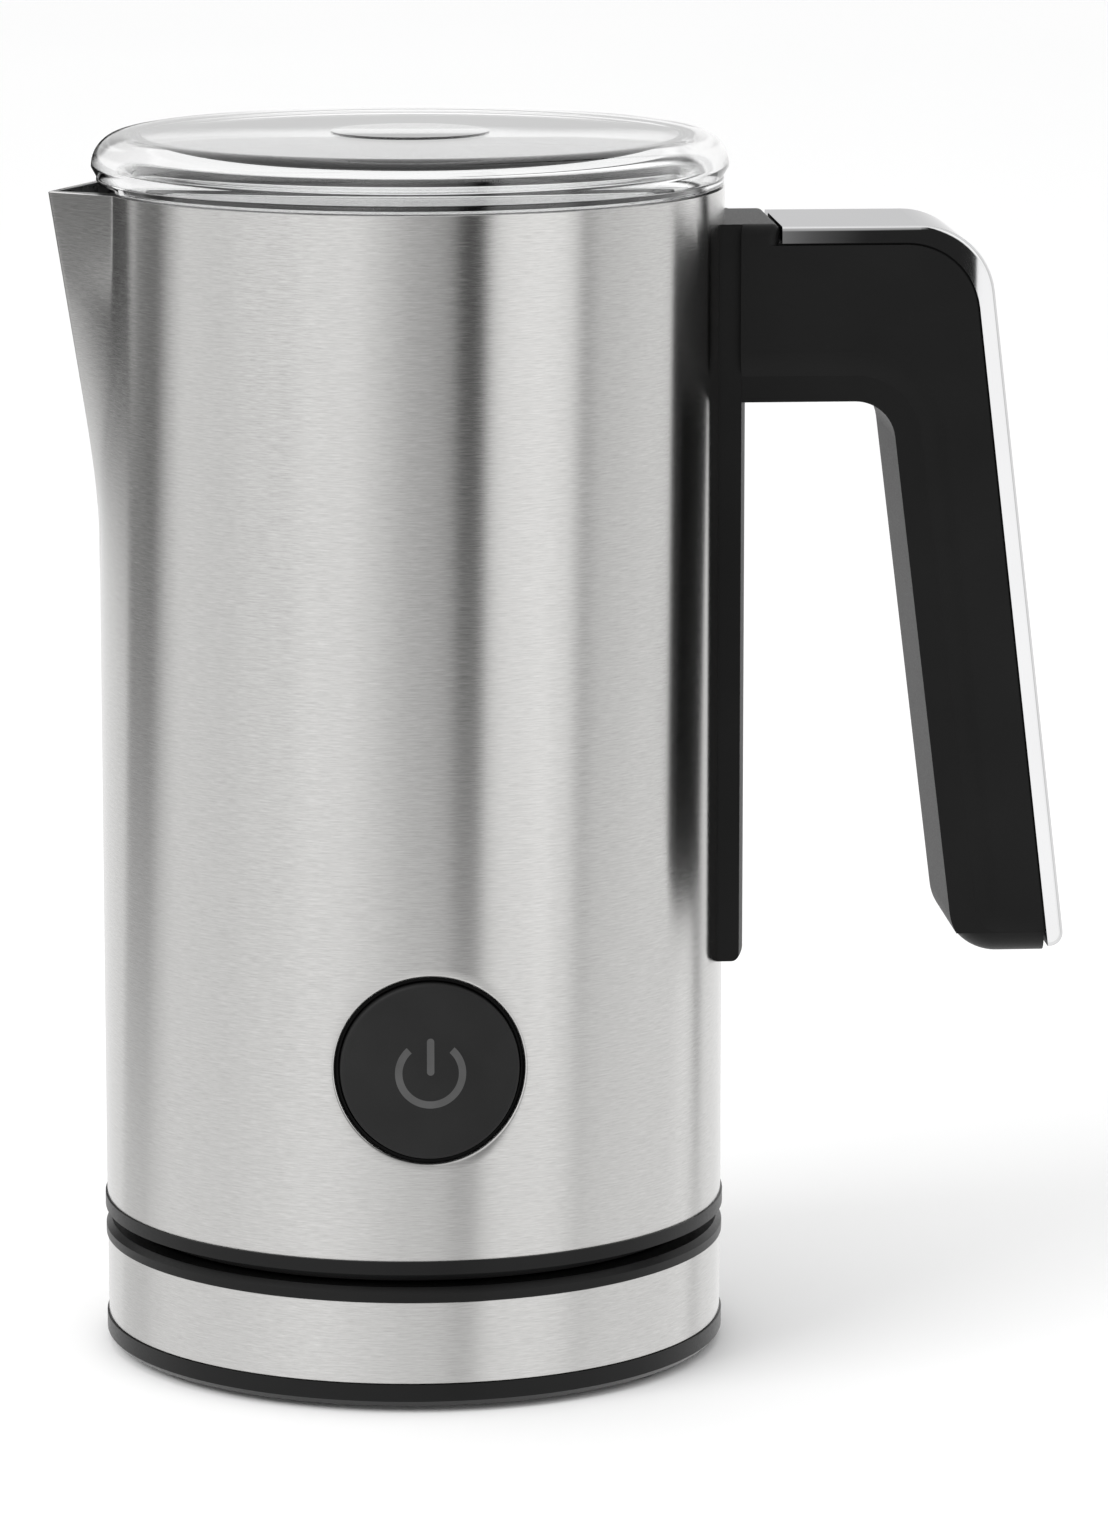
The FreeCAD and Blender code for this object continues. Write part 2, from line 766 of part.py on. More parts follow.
def make_heater():
    plate = ring(heater_outer_radius, heater_inner_radius, heater_low, pot_underside)
    sensor_x, sensor_y = polar(sensor_circle, sensor_angle)
    hole_radius = sensor_radius + sensor_hole_clearance
    plate = plate.cut(disc(hole_radius, heater_low - overcut, pot_underside + overcut, sensor_x, sensor_y))
    save("heater_plate", plate)

    # Tubular element brazed under the plate, open towards the handle, with its two cold ends
    tube_z = heater_low - tube_radius
    sweep = 360 - 2 * tube_open_angle
    tube = Part.makeTorus(tube_circle, tube_radius, vec(0, 0, tube_z), UP, 0, 360, sweep)
    tube.rotate(vec(0, 0, 0), UP, tube_open_angle)
    ends = [disc(terminal_radius, tube_z - terminal_length, tube_z, x, y) for x, y in terminal_places()]
    save("heater_tube", join([tube] + ends))

    sensor = disc(sensor_radius, pot_underside - sensor_length, pot_underside, sensor_x, sensor_y)
    save("temperature_sensor", sensor)

    fuse_x, fuse_y = polar(sensor_circle, fuse_angle)
    fuse = Part.makeCylinder(fuse_radius, fuse_length, vec(-fuse_length / 2, 0, 0), vec(1, 0, 0))
    fuse.rotate(vec(0, 0, 0), UP, fuse_angle + 90)
    fuse.translate(vec(fuse_x, fuse_y, heater_low - fuse_radius))
    save("thermal_fuse", fuse)


def make_drive():
    motor_screws_at = [(0, motor_screw_circle), (0, -motor_screw_circle)]

    bracket = disc(bracket_radius, bracket_low, bracket_top)
    below, above = bracket_low - overcut, bracket_top + overcut
    cutters = [disc(motor_boss_radius, below, above)]
    cutters += [disc(screw_radius, below, above, x, y) for x, y in motor_screws_at]
    cutters += [disc(terminal_hole_radius, below, above, x, y) for x, y in terminal_places()]
    cutters += pillars(screw_radius, below, above)
    cutters.append(rod_y(button_frame_radius + frame_gap, -bracket_radius - overcut, 0, 0, button_z))
    save("motor_bracket", bracket.cut(group(cutters)))

    standoffs = []
    for angle in standoff_angles:
        standoffs.append(disc(standoff_radius, bracket_top, heater_low, *polar(standoff_circle, angle)))
    save("motor_standoffs", group(standoffs))

    can = disc(motor_radius, motor_low, bracket_low)
    can = can.makeFillet(motor_edge, [e for e in can.Edges if e.BoundBox.ZMax < motor_low + tiny])
    boss = disc(motor_boss_radius, bracket_low, bracket_low + motor_boss_height)
    tail = disc(motor_tail_radius, motor_low - motor_tail_height, motor_low)
    motor = join([can, boss, tail])
    shaft_low = bracket_low - shaft_in_motor
    motor = motor.cut(disc(shaft_radius + shaft_clearance, shaft_low - rest_gap, bracket_top + overcut))
    thread_low = bracket_low - screw_radius * 2
    for x, y in motor_screws_at:
        motor = motor.cut(disc(screw_radius, thread_low, bracket_low + overcut, x, y))
    save("motor", motor)
    length = bracket_top - thread_low
    screws = [screw(screw_radius, length, screw_head_radius, small_head_height, x, y, bracket_top, -1)
              for x, y in motor_screws_at]
    save("motor_screws", group(screws))

    shaft = disc(shaft_radius, shaft_low, shaft_low + shaft_length)
    save("motor_shaft", shaft)
    rotor_high = pot_underside - rotor_gap
    rotor_low = rotor_high - rotor_thickness
    hub = join([disc(rotor_radius, rotor_low, rotor_high),
                disc(rotor_boss_radius, rotor_low - rotor_boss_height, rotor_low)])
    hub = hub.cut(shaft)
    places = [polar(magnet_circle, 360 * i / magnet_count) for i in range(magnet_count)]
    magnets = group([disc(magnet_radius, rotor_high - magnet_height, rotor_high, x, y) for x, y in places])
    save("rotor_hub", hub.cut(magnets))
    save("drive_magnets", magnets)


# --- Button, switch and circuit board ---

def power_symbol(front, back):
    """Open ring and bar of the on-off symbol, between two values of Y."""
    z = button_z - symbol_drop
    hollow = rod_y(symbol_radius - symbol_stroke, front - overcut, back + overcut, 0, z)
    circle = rod_y(symbol_radius, front, back, 0, z).cut(hollow)
    reach = symbol_radius * 2
    side = reach * math.tan(math.radians(symbol_opening))
    wedge = Part.makePolygon([vec(0, front, z), vec(-side, front, z + reach), vec(side, front, z + reach),
                              vec(0, front, z)])
    circle = circle.cut(Part.Face(wedge).extrude(vec(0, back - front, 0)))
    half = symbol_stroke / 2
    low, high = z + symbol_bar_low + half, z + symbol_bar_top - half
    bar = block(-half, half, front, back, low, high)
    ends = [rod_y(half, front, back, 0, low), rod_y(half, front, back, 0, high)]
    return circle, join([bar] + ends)


def make_button():
    face_radius = jug_radius + button_proud
    skin = disc(face_radius, button_z - jug_radius, button_z + jug_radius)
    lip = -button_frame_lip
    flange_front = lip + button_guide_gap
    flange_back = flange_front + button_flange_thickness

    cap = rod_y(button_radius, -face_radius - overcut, flange_back, 0, button_z).common(skin)
    front_of = -jug_radius * math.cos(button_radius / jug_radius)
    rim_edges = [e for e in cap.Edges if e.BoundBox.YMax < front_of]
    cap = cap.makeFillet(button_edge, rim_edges)
    inner_skin = disc(face_radius - button_wall, button_z - jug_radius, button_z + jug_radius)
    hollow_radius = button_radius - button_wall
    hollow = rod_y(hollow_radius, -face_radius, flange_back + overcut, 0, button_z).common(inner_skin)
    cap = cap.cut(hollow)
    flange = rod_y(button_radius + button_flange, flange_front, flange_back, 0, button_z)
    flange = flange.cut(rod_y(hollow_radius, flange_front - overcut, flange_back + overcut, 0, button_z))
    stem = rod_y(button_stem_radius, -face_radius + button_wall - tiny, -stem_end, 0, button_z)
    cap = join([cap, flange, stem.common(inner_skin)])
    circle, bar = power_symbol(-face_radius - overcut, -face_radius + symbol_depth)
    symbol = [circle.common(skin), bar.common(skin)]
    save("button_cap", cap.cut(group(symbol)))
    save("power_symbol_window", group(symbol))
    save("switch_plunger", rod_y(plunger_radius, -stem_end, -stem_end + plunger_length, 0, button_z))

    # Frame: fits the shell's inside, guides the cap, and stands on the board on four legs
    inside = disc(shell_inner_radius, button_z - jug_radius, button_z + jug_radius)
    back = -button_frame_back
    frame_end = back + button_back_thickness
    frame = rod_y(button_frame_radius, -jug_radius, frame_end, 0, button_z).common(inside)
    frame = frame.cut(rod_y(button_radius + button_guide_gap, -jug_radius, lip, 0, button_z))
    wide = button_radius + button_flange + button_guide_gap
    frame = frame.cut(rod_y(wide, lip - tiny, back, 0, button_z))
    frame = frame.cut(rod_y(button_stem_hole, back - overcut, back + overcut * 2, 0, button_z))
    legs = []
    for side_x in (-1, 1):
        for side_z in (-1, 1):
            x, z = side_x * leg_offset, button_z + side_z * leg_offset
            legs.append(rod_y(leg_radius, back + button_back_thickness / 2, -board_front, x, z))
    save("button_frame", join([frame] + legs))

    # Return spring between the frame's back and the cap
    seat = math.sqrt((face_radius - button_wall) ** 2 - (spring_radius + spring_wire) ** 2)
    start = -seat + spring_wire + running_clearance
    end = back - spring_wire
    pitch = (end - start) / spring_turns
    coil = Part.makeHelix(pitch, end - start, spring_radius)
    wire_round = Part.Wire(Part.makeCircle(spring_wire, vec(spring_radius, 0, 0), vec(0, 1, 0)))
    spring = Part.Wire(coil).makePipeShell([wire_round], True, True)
    spring.rotate(vec(0, 0, 0), vec(1, 0, 0), -90)
    spring.translate(vec(0, start, button_z))
    save("button_spring", spring)


def make_board():
    front = -board_front
    back = front + board_thickness
    low = shell_low + board_low
    high = bracket_low - board_top_gap
    half = board_width / 2
    save("circuit_board", block(-half, half, front, back, low, high))

    # Holder: a foot bar and two slotted posts on the bottom cover
    middle = (front + back) / 2
    near, far = middle - holder_depth / 2, middle + holder_depth / 2
    inner = half - board_slot_depth
    outer = inner + holder_post
    pieces = [block(-outer, outer, near, far, shell_low, shell_low + holder_bar_height)]
    slots = []
    for side in (-1, 1):
        x0, x1 = sorted((side * inner, side * outer))
        pieces.append(block(x0, x1, near, far, shell_low, high))
        x0, x1 = sorted((side * (inner - overcut), side * (half + board_slot_clearance)))
        slots.append(block(x0, x1, front - board_slot_clearance, back + board_slot_clearance,
                           low, high + overcut))
    lip_top = shell_low + base_lip_height
    slots.append(disc(collar_outer_radius + holder_collar_gap, shell_low - overcut, lip_top))
    bar_top = shell_low + holder_bar_height
    length = bar_top - ring_low - holder_screw_floor
    screws = []
    for side in (-1, 1):
        x = side * holder_screw_x
        slots.append(disc(holder_screw_radius, shell_low - overcut, bar_top + overcut, x, middle))
        screws.append(screw(holder_screw_radius, length, screw_head_radius, screw_head_height,
                            x, middle, bar_top, -1))
    save("board_holder", join(pieces).cut(group(slots)))
    save("holder_screws", group(screws))

    side = switch_size / 2
    switch = block(-side, side, front - switch_depth, front, button_z - side, button_z + side)
    bore_end = -stem_end + plunger_length + button_travel + button_guide_gap / 2
    bore_radius = plunger_radius + switch_bore_clearance
    switch = switch.cut(rod_y(bore_radius, front - switch_depth - overcut, bore_end, 0, button_z))
    save("switch_body", switch)

    lamp_z = button_z + side + lamp_size
    lamp_half = lamp_size / 2
    lamp = block(-lamp_half, lamp_half, front - lamp_half, front, lamp_z - lamp_half, lamp_z + lamp_half)
    save("indicator_lamp", lamp)

    relay_low = high - relay_height - relay_top_gap
    relay_x = relay_post_gap - inner
    relay = block(relay_x, relay_x + relay_width, back, back + relay_depth,
                  relay_low, relay_low + relay_height)
    capacitor = rod_y(capacitor_radius, back, back + relay_depth, capacitor_x, relay_low + relay_height / 2)
    save("board_components", group([relay, capacitor]))
    return back


def make_leads(board_back):
    tube_z = heater_low - tube_radius
    end_z = tube_z - terminal_length
    x = board_width / 2 - lead_bend
    first_z = end_z - lead_run
    pieces = []
    for (tx, ty), z in zip(terminal_places(), (first_z, first_z - lead_spacing)):
        half_way = vec(tx - lead_run, ty - lead_bend, z)
        route = [vec(x, board_back, z), vec(x, board_back + lead_bend * 2, z), half_way,
                 vec(tx, ty, z), vec(tx, ty, end_z)]
        pieces.append(lead(route, heater_lead_radius))
    save("heater_leads", group(pieces))

    z = motor_low - motor_lead_drop
    pieces = []
    for side in (-1, 1):
        x = side * motor_tail_radius
        y = -motor_tail_radius - motor_lead_gap
        pieces.append(lead([vec(x, board_back, z), vec(x, y, z), vec(x, y, motor_low)], motor_lead_radius))
    save("motor_leads", group(pieces))


# --- Whisk ---

def make_whisk():
    low = pot_floor + whisk_floor_gap
    bush_bottom = pot_floor + bush_low
    bush = ring(bush_radius, spindle_radius + running_clearance, bush_bottom, bush_bottom + bush_length)
    save("whisk_bush", bush)

    ring_z = low + whisk_coil_radius
    bore_top = pot_floor + spindle_height + spindle_end_gap
    hub = disc(whisk_hub_radius, low, low + whisk_hub_height)
    hub_top = low + whisk_hub_height
    hub = hub.makeFillet(whisk_hub_radius / 3, [e for e in hub.Edges if e.BoundBox.ZMin > hub_top - tiny])
    plate = disc(whisk_disc_radius, low, low + whisk_disc_thickness)
    core = Part.makeTorus(whisk_ring_radius, whisk_core_radius, vec(0, 0, ring_z))
    spokes = []
    half_width = whisk_spoke_width / 2
    for i in range(whisk_spoke_count):
        spoke = block(whisk_hub_radius / 2, whisk_ring_radius, -half_width, half_width,
                      ring_z - whisk_core_radius, ring_z + whisk_core_radius / 2)
        spoke.rotate(vec(0, 0, 0), UP, 360 * i / whisk_spoke_count)
        spokes.append(spoke)
    body = join([hub, plate, core] + spokes)
    body = body.cut(disc(bush_radius + running_clearance, low - overcut, bore_top))
    places = [polar(magnet_circle, 360 * (i + 0.5) / magnet_count) for i in range(magnet_count)]
    magnet_low = low + whisk_magnet_cover
    magnet_top = magnet_low + whisk_magnet_height
    magnets = group([disc(whisk_magnet_radius, magnet_low, magnet_top, x, y) for x, y in places])
    save("whisk_hub", body.cut(magnets))
    save("whisk_magnets", magnets)
    coil = Part.makeTorus(whisk_ring_radius, whisk_coil_radius, vec(0, 0, ring_z))
    coil_inside = Part.makeTorus(whisk_ring_radius, whisk_coil_radius - whisk_coil_wall, vec(0, 0, ring_z))
    coil = coil.cut(coil_inside)
    save("whisk_coil", coil.cut(group(spokes)))


# --- Lid ---

def make_lid():
    top = lid_high
    under = top - lid_top
    skirt_low = rim - lid_skirt_depth
    widest = jug_radius + lid_stand_out
    edge = base_radius
    foot_top = lid_seat + lid_foot_height
    widest_z = lid_seat + lid_widest_height
    shoulder_radius = top - widest_z
    shoulder_x = widest - shoulder_radius
    inner_part = [
        vec(widest, 0, widest_z),
        vec(edge, 0, foot_top),
        vec(edge, 0, lid_seat),
        vec(lid_foot_inner_radius, 0, lid_seat),
        vec(lid_foot_inner_radius, 0, top - lid_cavity_top),
        vec(lid_skirt_radius, 0, top - lid_cavity_top),
        vec(lid_skirt_radius, 0, skirt_low),
        vec(lid_skirt_radius - lid_skirt_wall, 0, skirt_low),
        vec(lid_skirt_radius - lid_skirt_wall, 0, under),
        vec(0, 0, under),
        vec(0, 0, top - lid_recess_depth),
        vec(lid_recess_radius, 0, top - lid_recess_depth),
        vec(lid_recess_radius + lid_recess_depth, 0, top),
        vec(shoulder_x, 0, top),
    ]
    diagonal = shoulder_radius * math.sqrt(0.5)
    half_way = vec(shoulder_x + diagonal, 0, widest_z + diagonal)
    shoulder = Part.Arc(inner_part[-1], half_way, inner_part[0])
    edges = [Part.LineSegment(a, b).toShape() for a, b in zip(inner_part, inner_part[1:])]
    profile = Part.Face(Part.Wire(edges + [shoulder.toShape()]))
    lid = profile.revolve(vec(0, 0, 0), UP, 360)

    # The foot stops at each side of the spout, so that steam and milk can pass
    side = spout_end * math.tan(math.radians(lid_notch_angle))
    notch = Part.makePolygon([vec(0, 0, lid_seat - overcut), vec(-spout_end, side, lid_seat - overcut),
                              vec(-spout_end, -side, lid_seat - overcut), vec(0, 0, lid_seat - overcut)])
    notch = Part.Face(notch).extrude(vec(0, 0, lid_foot_height + overcut))
    notch = notch.cut(disc(lid_foot_inner_radius - overcut, lid_seat - overcut * 2, foot_top + overcut))
    lid = lid.cut(notch)

    seal_low = skirt_low + lid_seal_up
    seal_in = lid_skirt_radius - lid_seal_groove
    seal_out = pot_inner_radius - lid_seal_clearance
    lid = lid.cut(ring(widest, seal_in, seal_low, seal_low + lid_seal_height))
    save("lid", lid)
    seal = ring(seal_out, seal_in, seal_low, seal_low + lid_seal_height)
    outer_edges = [e for e in seal.Edges if e.BoundBox.XMax > seal_out - tiny and e.BoundBox.ZLength < tiny]
    save("lid_seal", seal.makeFillet(lid_seal_height / 4, outer_edges))


# --- Handle ---

def handle_screw_heights():
    arm = [rim - drop for drop in handle_screw_drops]
    return arm + [rim - plate_drop - plate_length + plate_screw_rise]


def outer_x(z, inset=0.0):
    """X of the grip's outer face at a height, moved in by `inset` square to the face."""
    top = rim - arm_drop
    square = math.hypot(1, grip_outer_slope)
    return jug_radius + grip_corner_x + grip_outer_slope * (top - z) - inset * square


def inner_x(z, inset=0.0):
    """X of the grip's inner face at a height, moved out by `inset` square to the face."""
    under = rim - arm_drop - arm_depth
    square = math.hypot(1, grip_inner_slope)
    return jug_radius + grip_inner_x + grip_inner_slope * (under - z) + inset * square


def body_outline(outer_inset, root, wall):
    """Side view of the handle's body, `wall` inside its surface and `outer_inset` inside the trim's."""
    top = rim - arm_drop - outer_inset
    under = rim - arm_drop - arm_depth + wall
    foot = rim - arm_drop - grip_length + wall
    points = [vec(root, 0, top), vec(outer_x(top, outer_inset), 0, top),
              vec(outer_x(foot, outer_inset), 0, foot), vec(inner_x(foot, wall), 0, foot),
              vec(inner_x(under, wall), 0, under), vec(root, 0, under)]
    outer_corner = trim_inner_corner + trim_thickness - outer_inset
    radii = [0, outer_corner, 0, grip_foot_corner - wall / 2, grip_inner_corner + wall, 0]
    return rounded_wire(points, radii)


def make_handle():
    top = rim - arm_drop
    block_top = rim - plate_drop
    plate_low = block_top - plate_length
    block_end = jug_radius + block_reach
    inner_surface = disc(jug_radius, plate_low - overcut, rim)
    plate_surface = disc(plate_radius, plate_low - overcut, rim)

    plate = plate_surface.common(block(0, plate_radius + overcut, -plate_half_width, plate_half_width,
                                       plate_low, block_top)).cut(inner_surface)
    foot_edges = [e for e in plate.Edges
                  if e.BoundBox.ZMax < plate_low + tiny and e.BoundBox.XMax > plate_radius - tiny]
    plate = plate.makeFillet(plate_corner, foot_edges)

    # Body: rounded on the finger side, with a rib under the trim and a hollow grip
    groove = trim_thickness + trim_gap
    body = prism(body_outline(groove, jug_radius, 0.0), handle_half_width)
    soft = []
    for edge in body.Edges:
        middle = edge.valueAt((edge.FirstParameter + edge.LastParameter) / 2)
        on_side = edge.BoundBox.YLength < tiny
        finger_side = middle.z < top - arm_depth / 2 and middle.x < outer_x(middle.z, groove) - overcut
        if on_side and finger_side and middle.x > jug_radius + overcut:
            soft.append(edge)
    body = body.makeFillet(grip_rounding, soft)
    nose = block(jug_radius, block_end, -handle_half_width, handle_half_width,
                 top - groove - overcut, block_top)
    nose_edges = [e for e in nose.Edges
                  if e.BoundBox.ZMin > block_top - tiny and e.BoundBox.XMin > block_end - tiny]
    nose = nose.makeFillet(block_corner, nose_edges)
    side_edges = [e for e in nose.Edges
                  if e.BoundBox.ZMin > block_top - tiny and e.BoundBox.YLength < tiny
                  and e.BoundBox.XLength > block_reach / 2]
    nose = nose.makeFillet(block_side_corner, side_edges)
    rib_half = handle_half_width - trim_groove_depth
    rib_foot = top - grip_length + trim_short + trim_end_corner
    rib = prism(body_outline(trim_thickness, jug_radius, 0.0), rib_half)
    rib = rib.common(block(jug_radius, handle_reach, -rib_half, rib_half, rib_foot, block_top))
    body = join([body, rib, nose])
    cavity = prism(body_outline(trim_thickness - overcut, plate_radius + arm_root, grip_wall),
                   handle_half_width - grip_wall)
    keep_foot = block(0, handle_reach, -rib_half, rib_half, plate_low - overcut, rib_foot + grip_wall)
    body = body.cut(cavity.cut(keep_foot)).cut(plate_surface)

    screws = []
    for i, z in enumerate(handle_screw_heights()):
        into_plate = i == len(handle_screw_drops)
        length = plate_screw_length if into_plate else handle_screw_length
        half = handle_screw_head
        seat = math.sqrt(shell_inner_radius ** 2 - half ** 2) - tiny
        tip = jug_radius + length
        shank = rod_x(handle_screw_radius, seat, tip, 0, z)
        screws.append(join([shank, rod_x(half, seat - handle_screw_head_height, seat, 0, z)]))
        hole = rod_x(handle_screw_radius, jug_radius - overcut, tip, 0, z)
        plate = plate.cut(hole)
        body = body.cut(hole)
    save("handle_plate", plate)
    save("handle_body", body)
    save("handle_screws", group(screws))

    # Bright strip over the arm and down the outside of the grip
    start = block_end + trim_start_gap
    low = top - grip_length + trim_short
    inner_top = top - trim_thickness
    points = [vec(start, 0, top), vec(outer_x(top), 0, top), vec(outer_x(low), 0, low),
              vec(outer_x(low, trim_thickness), 0, low),
              vec(outer_x(inner_top, trim_thickness), 0, inner_top), vec(start, 0, inner_top)]
    radii = [0, grip_outer_corner, trim_end_corner, 0, trim_inner_corner, 0]
    trim = prism(rounded_wire(points, radii), handle_half_width)
    long_edges = []
    for edge in trim.Edges:
        middle = edge.valueAt((edge.FirstParameter + edge.LastParameter) / 2)
        outside = middle.x > outer_x(middle.z) - trim_thickness / 2 or middle.z > top - tiny
        if edge.BoundBox.YLength < tiny and outside:
            long_edges.append(edge)
    save("handle_trim", trim.makeFillet(trim_rounding, long_edges))


os.makedirs("parts", exist_ok=True)
make_base()
make_base_connector()
make_cord_outlet()
make_socket()
make_bottom_cover()
make_shell()
make_pot()
make_spindle()
make_heater()
make_drive()
make_button()
make_leads(make_board())
make_whisk()
make_lid()
make_handle()

for name, shape in shapes.items():
    kinds = "solid" if shape.isValid() and shape.Solids else "NOT SOLID"
    print(f"{name:22s} {kinds} {len(shape.Solids)} volume {shape.Volume:.1f}")
print("jug axis x", round(axis_x, 3), "top", round(lid_high, 2))
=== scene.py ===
import math

import bmesh
import bpy
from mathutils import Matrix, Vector


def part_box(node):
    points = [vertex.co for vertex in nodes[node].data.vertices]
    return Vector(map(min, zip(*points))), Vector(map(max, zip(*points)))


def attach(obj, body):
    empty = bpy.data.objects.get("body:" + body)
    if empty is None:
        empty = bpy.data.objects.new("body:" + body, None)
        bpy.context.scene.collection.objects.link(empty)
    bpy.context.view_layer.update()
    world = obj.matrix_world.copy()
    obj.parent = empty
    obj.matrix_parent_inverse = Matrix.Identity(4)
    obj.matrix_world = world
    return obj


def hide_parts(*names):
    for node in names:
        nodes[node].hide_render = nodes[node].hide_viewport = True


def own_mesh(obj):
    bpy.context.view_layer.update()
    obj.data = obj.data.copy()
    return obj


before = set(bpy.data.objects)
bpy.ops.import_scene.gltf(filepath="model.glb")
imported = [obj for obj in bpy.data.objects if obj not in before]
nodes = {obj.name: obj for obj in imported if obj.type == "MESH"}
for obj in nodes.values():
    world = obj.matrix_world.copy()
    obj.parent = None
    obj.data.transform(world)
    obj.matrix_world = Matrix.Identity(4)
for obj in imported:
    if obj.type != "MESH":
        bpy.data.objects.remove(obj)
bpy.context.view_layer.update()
tiny = 1e-6  # metres: anything closer than this is the same place


# sizes taken from the frame, in metres
def middle(node):
    low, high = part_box(node)
    return (low + high) / 2


shellLow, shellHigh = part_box("outer_shell")
bandLow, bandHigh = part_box("base_band")
axisX = middle("base_band").x
jugRadius = shellHigh.y
rimZ = shellHigh.z
buttonZ = middle("button_cap").z
spoutReach = axisX - shellLow.x  # from the jug's axis to the spout's tip
print("frame loaded: jug axis at x", round(axisX, 5), "radius", round(jugRadius, 5))


# mesh helpers
def polarPoint(radius, degrees, z):
    turn = math.radians(degrees)
    return Vector((radius * math.cos(turn), radius * math.sin(turn), z))


def roundedOutline(corners, steps):
    # corners are (across, up, radius), and each becomes an arc of that many steps
    outline = []
    count = len(corners)
    for i, (x, z, radius) in enumerate(corners):
        here = Vector((x, z))
        before = Vector(corners[i - 1][:2]) - here
        after = Vector(corners[(i + 1) % count][:2]) - here
        half = before.angle(after) / 2
        setBack = radius / math.tan(half)
        start = here + before.normalized() * setBack
        end = here + after.normalized() * setBack
        inwards = (before.normalized() + after.normalized()).normalized()
        centre = here + inwards * (radius / math.sin(half))
        startTurn = math.atan2(start.y - centre.y, start.x - centre.x)
        sweep = math.atan2(end.y - centre.y, end.x - centre.x) - startTurn
        sweep = (sweep + math.pi) % (2 * math.pi) - math.pi
        for step in range(steps + 1):
            turn = startTurn + sweep * step / steps
            outline.append(centre + radius * Vector((math.cos(turn), math.sin(turn))))
    return outline


def place(name, data):
    thing = bpy.data.objects.new(name, data)
    bpy.context.scene.collection.objects.link(thing)
    return thing


def finishPiece(name, mesh, body, material, stands=()):
    piece = place(name, mesh)
    piece.location = (axisX, 0, 0)
    mesh.materials.append(material)
    for face in mesh.polygons:
        face.use_smooth = True
    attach(piece, body)
    if stands:
        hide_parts(*stands)
    return piece


def meshFromBm(name, bm):
    bmesh.ops.recalc_face_normals(bm, faces=bm.faces)
    mesh = bpy.data.meshes.new(name)
    bm.to_mesh(mesh)
    bm.free()
    return mesh


def lathe(name, outline, turns):
    # closed outline of (radius, z) turned about the jug's axis; a point on the axis becomes one vertex
    bm = bmesh.new()
    rings = []
    for radius, z in outline:
        if radius < tiny:
            rings.append([bm.verts.new((0, 0, z))])
        else:
            rings.append([bm.verts.new(polarPoint(radius, 360 * i / turns, z)) for i in range(turns)])
    for i, ring in enumerate(rings):
        other = rings[(i + 1) % len(rings)]
        if len(ring) == 1 and len(other) == 1:
            continue
        for k in range(turns):
            n = (k + 1) % turns
            if len(ring) == 1:
                bm.faces.new((ring[0], other[k], other[n]))
            elif len(other) == 1:
                bm.faces.new((ring[k], ring[n], other[0]))
            else:
                bm.faces.new((ring[k], ring[n], other[n], other[k]))
    return meshFromBm(name, bm)


def keepFlatsFlat(piece, largeFaceShare=60):
    # the large faces decide the shading, so that a flat stays flat beside a small rounding
    steady = piece.modifiers.new("steadyNormals", "WEIGHTED_NORMAL")
    steady.mode = "FACE_AREA"
    steady.weight = largeFaceShare
    steady.keep_sharp = True


def addBevel(piece, width, segments, angle):
    bevel = piece.modifiers.new("softEdges", "BEVEL")
    bevel.width = width
    bevel.segments = segments
    bevel.limit_method = "ANGLE"
    bevel.angle_limit = math.radians(angle)
    bevel.harden_normals = True


def wireMesh(name, points, wire, closed):
    # a round wire of that diameter along the points
    curve = bpy.data.curves.new(name, "CURVE")
    curve.dimensions = "3D"
    curve.bevel_depth = wire / 2
    curve.bevel_resolution = 3
    curve.use_fill_caps = not closed
    spline = curve.splines.new("POLY")
    spline.points.add(len(points) - 1)
    for spot, point in zip(spline.points, points):
        spot.co = (*point, 1)
    spline.use_cyclic_u = closed
    shape = bpy.data.objects.new(name + "Shape", curve)
    mesh = bpy.data.meshes.new_from_object(shape)
    bpy.data.objects.remove(shape)
    return mesh


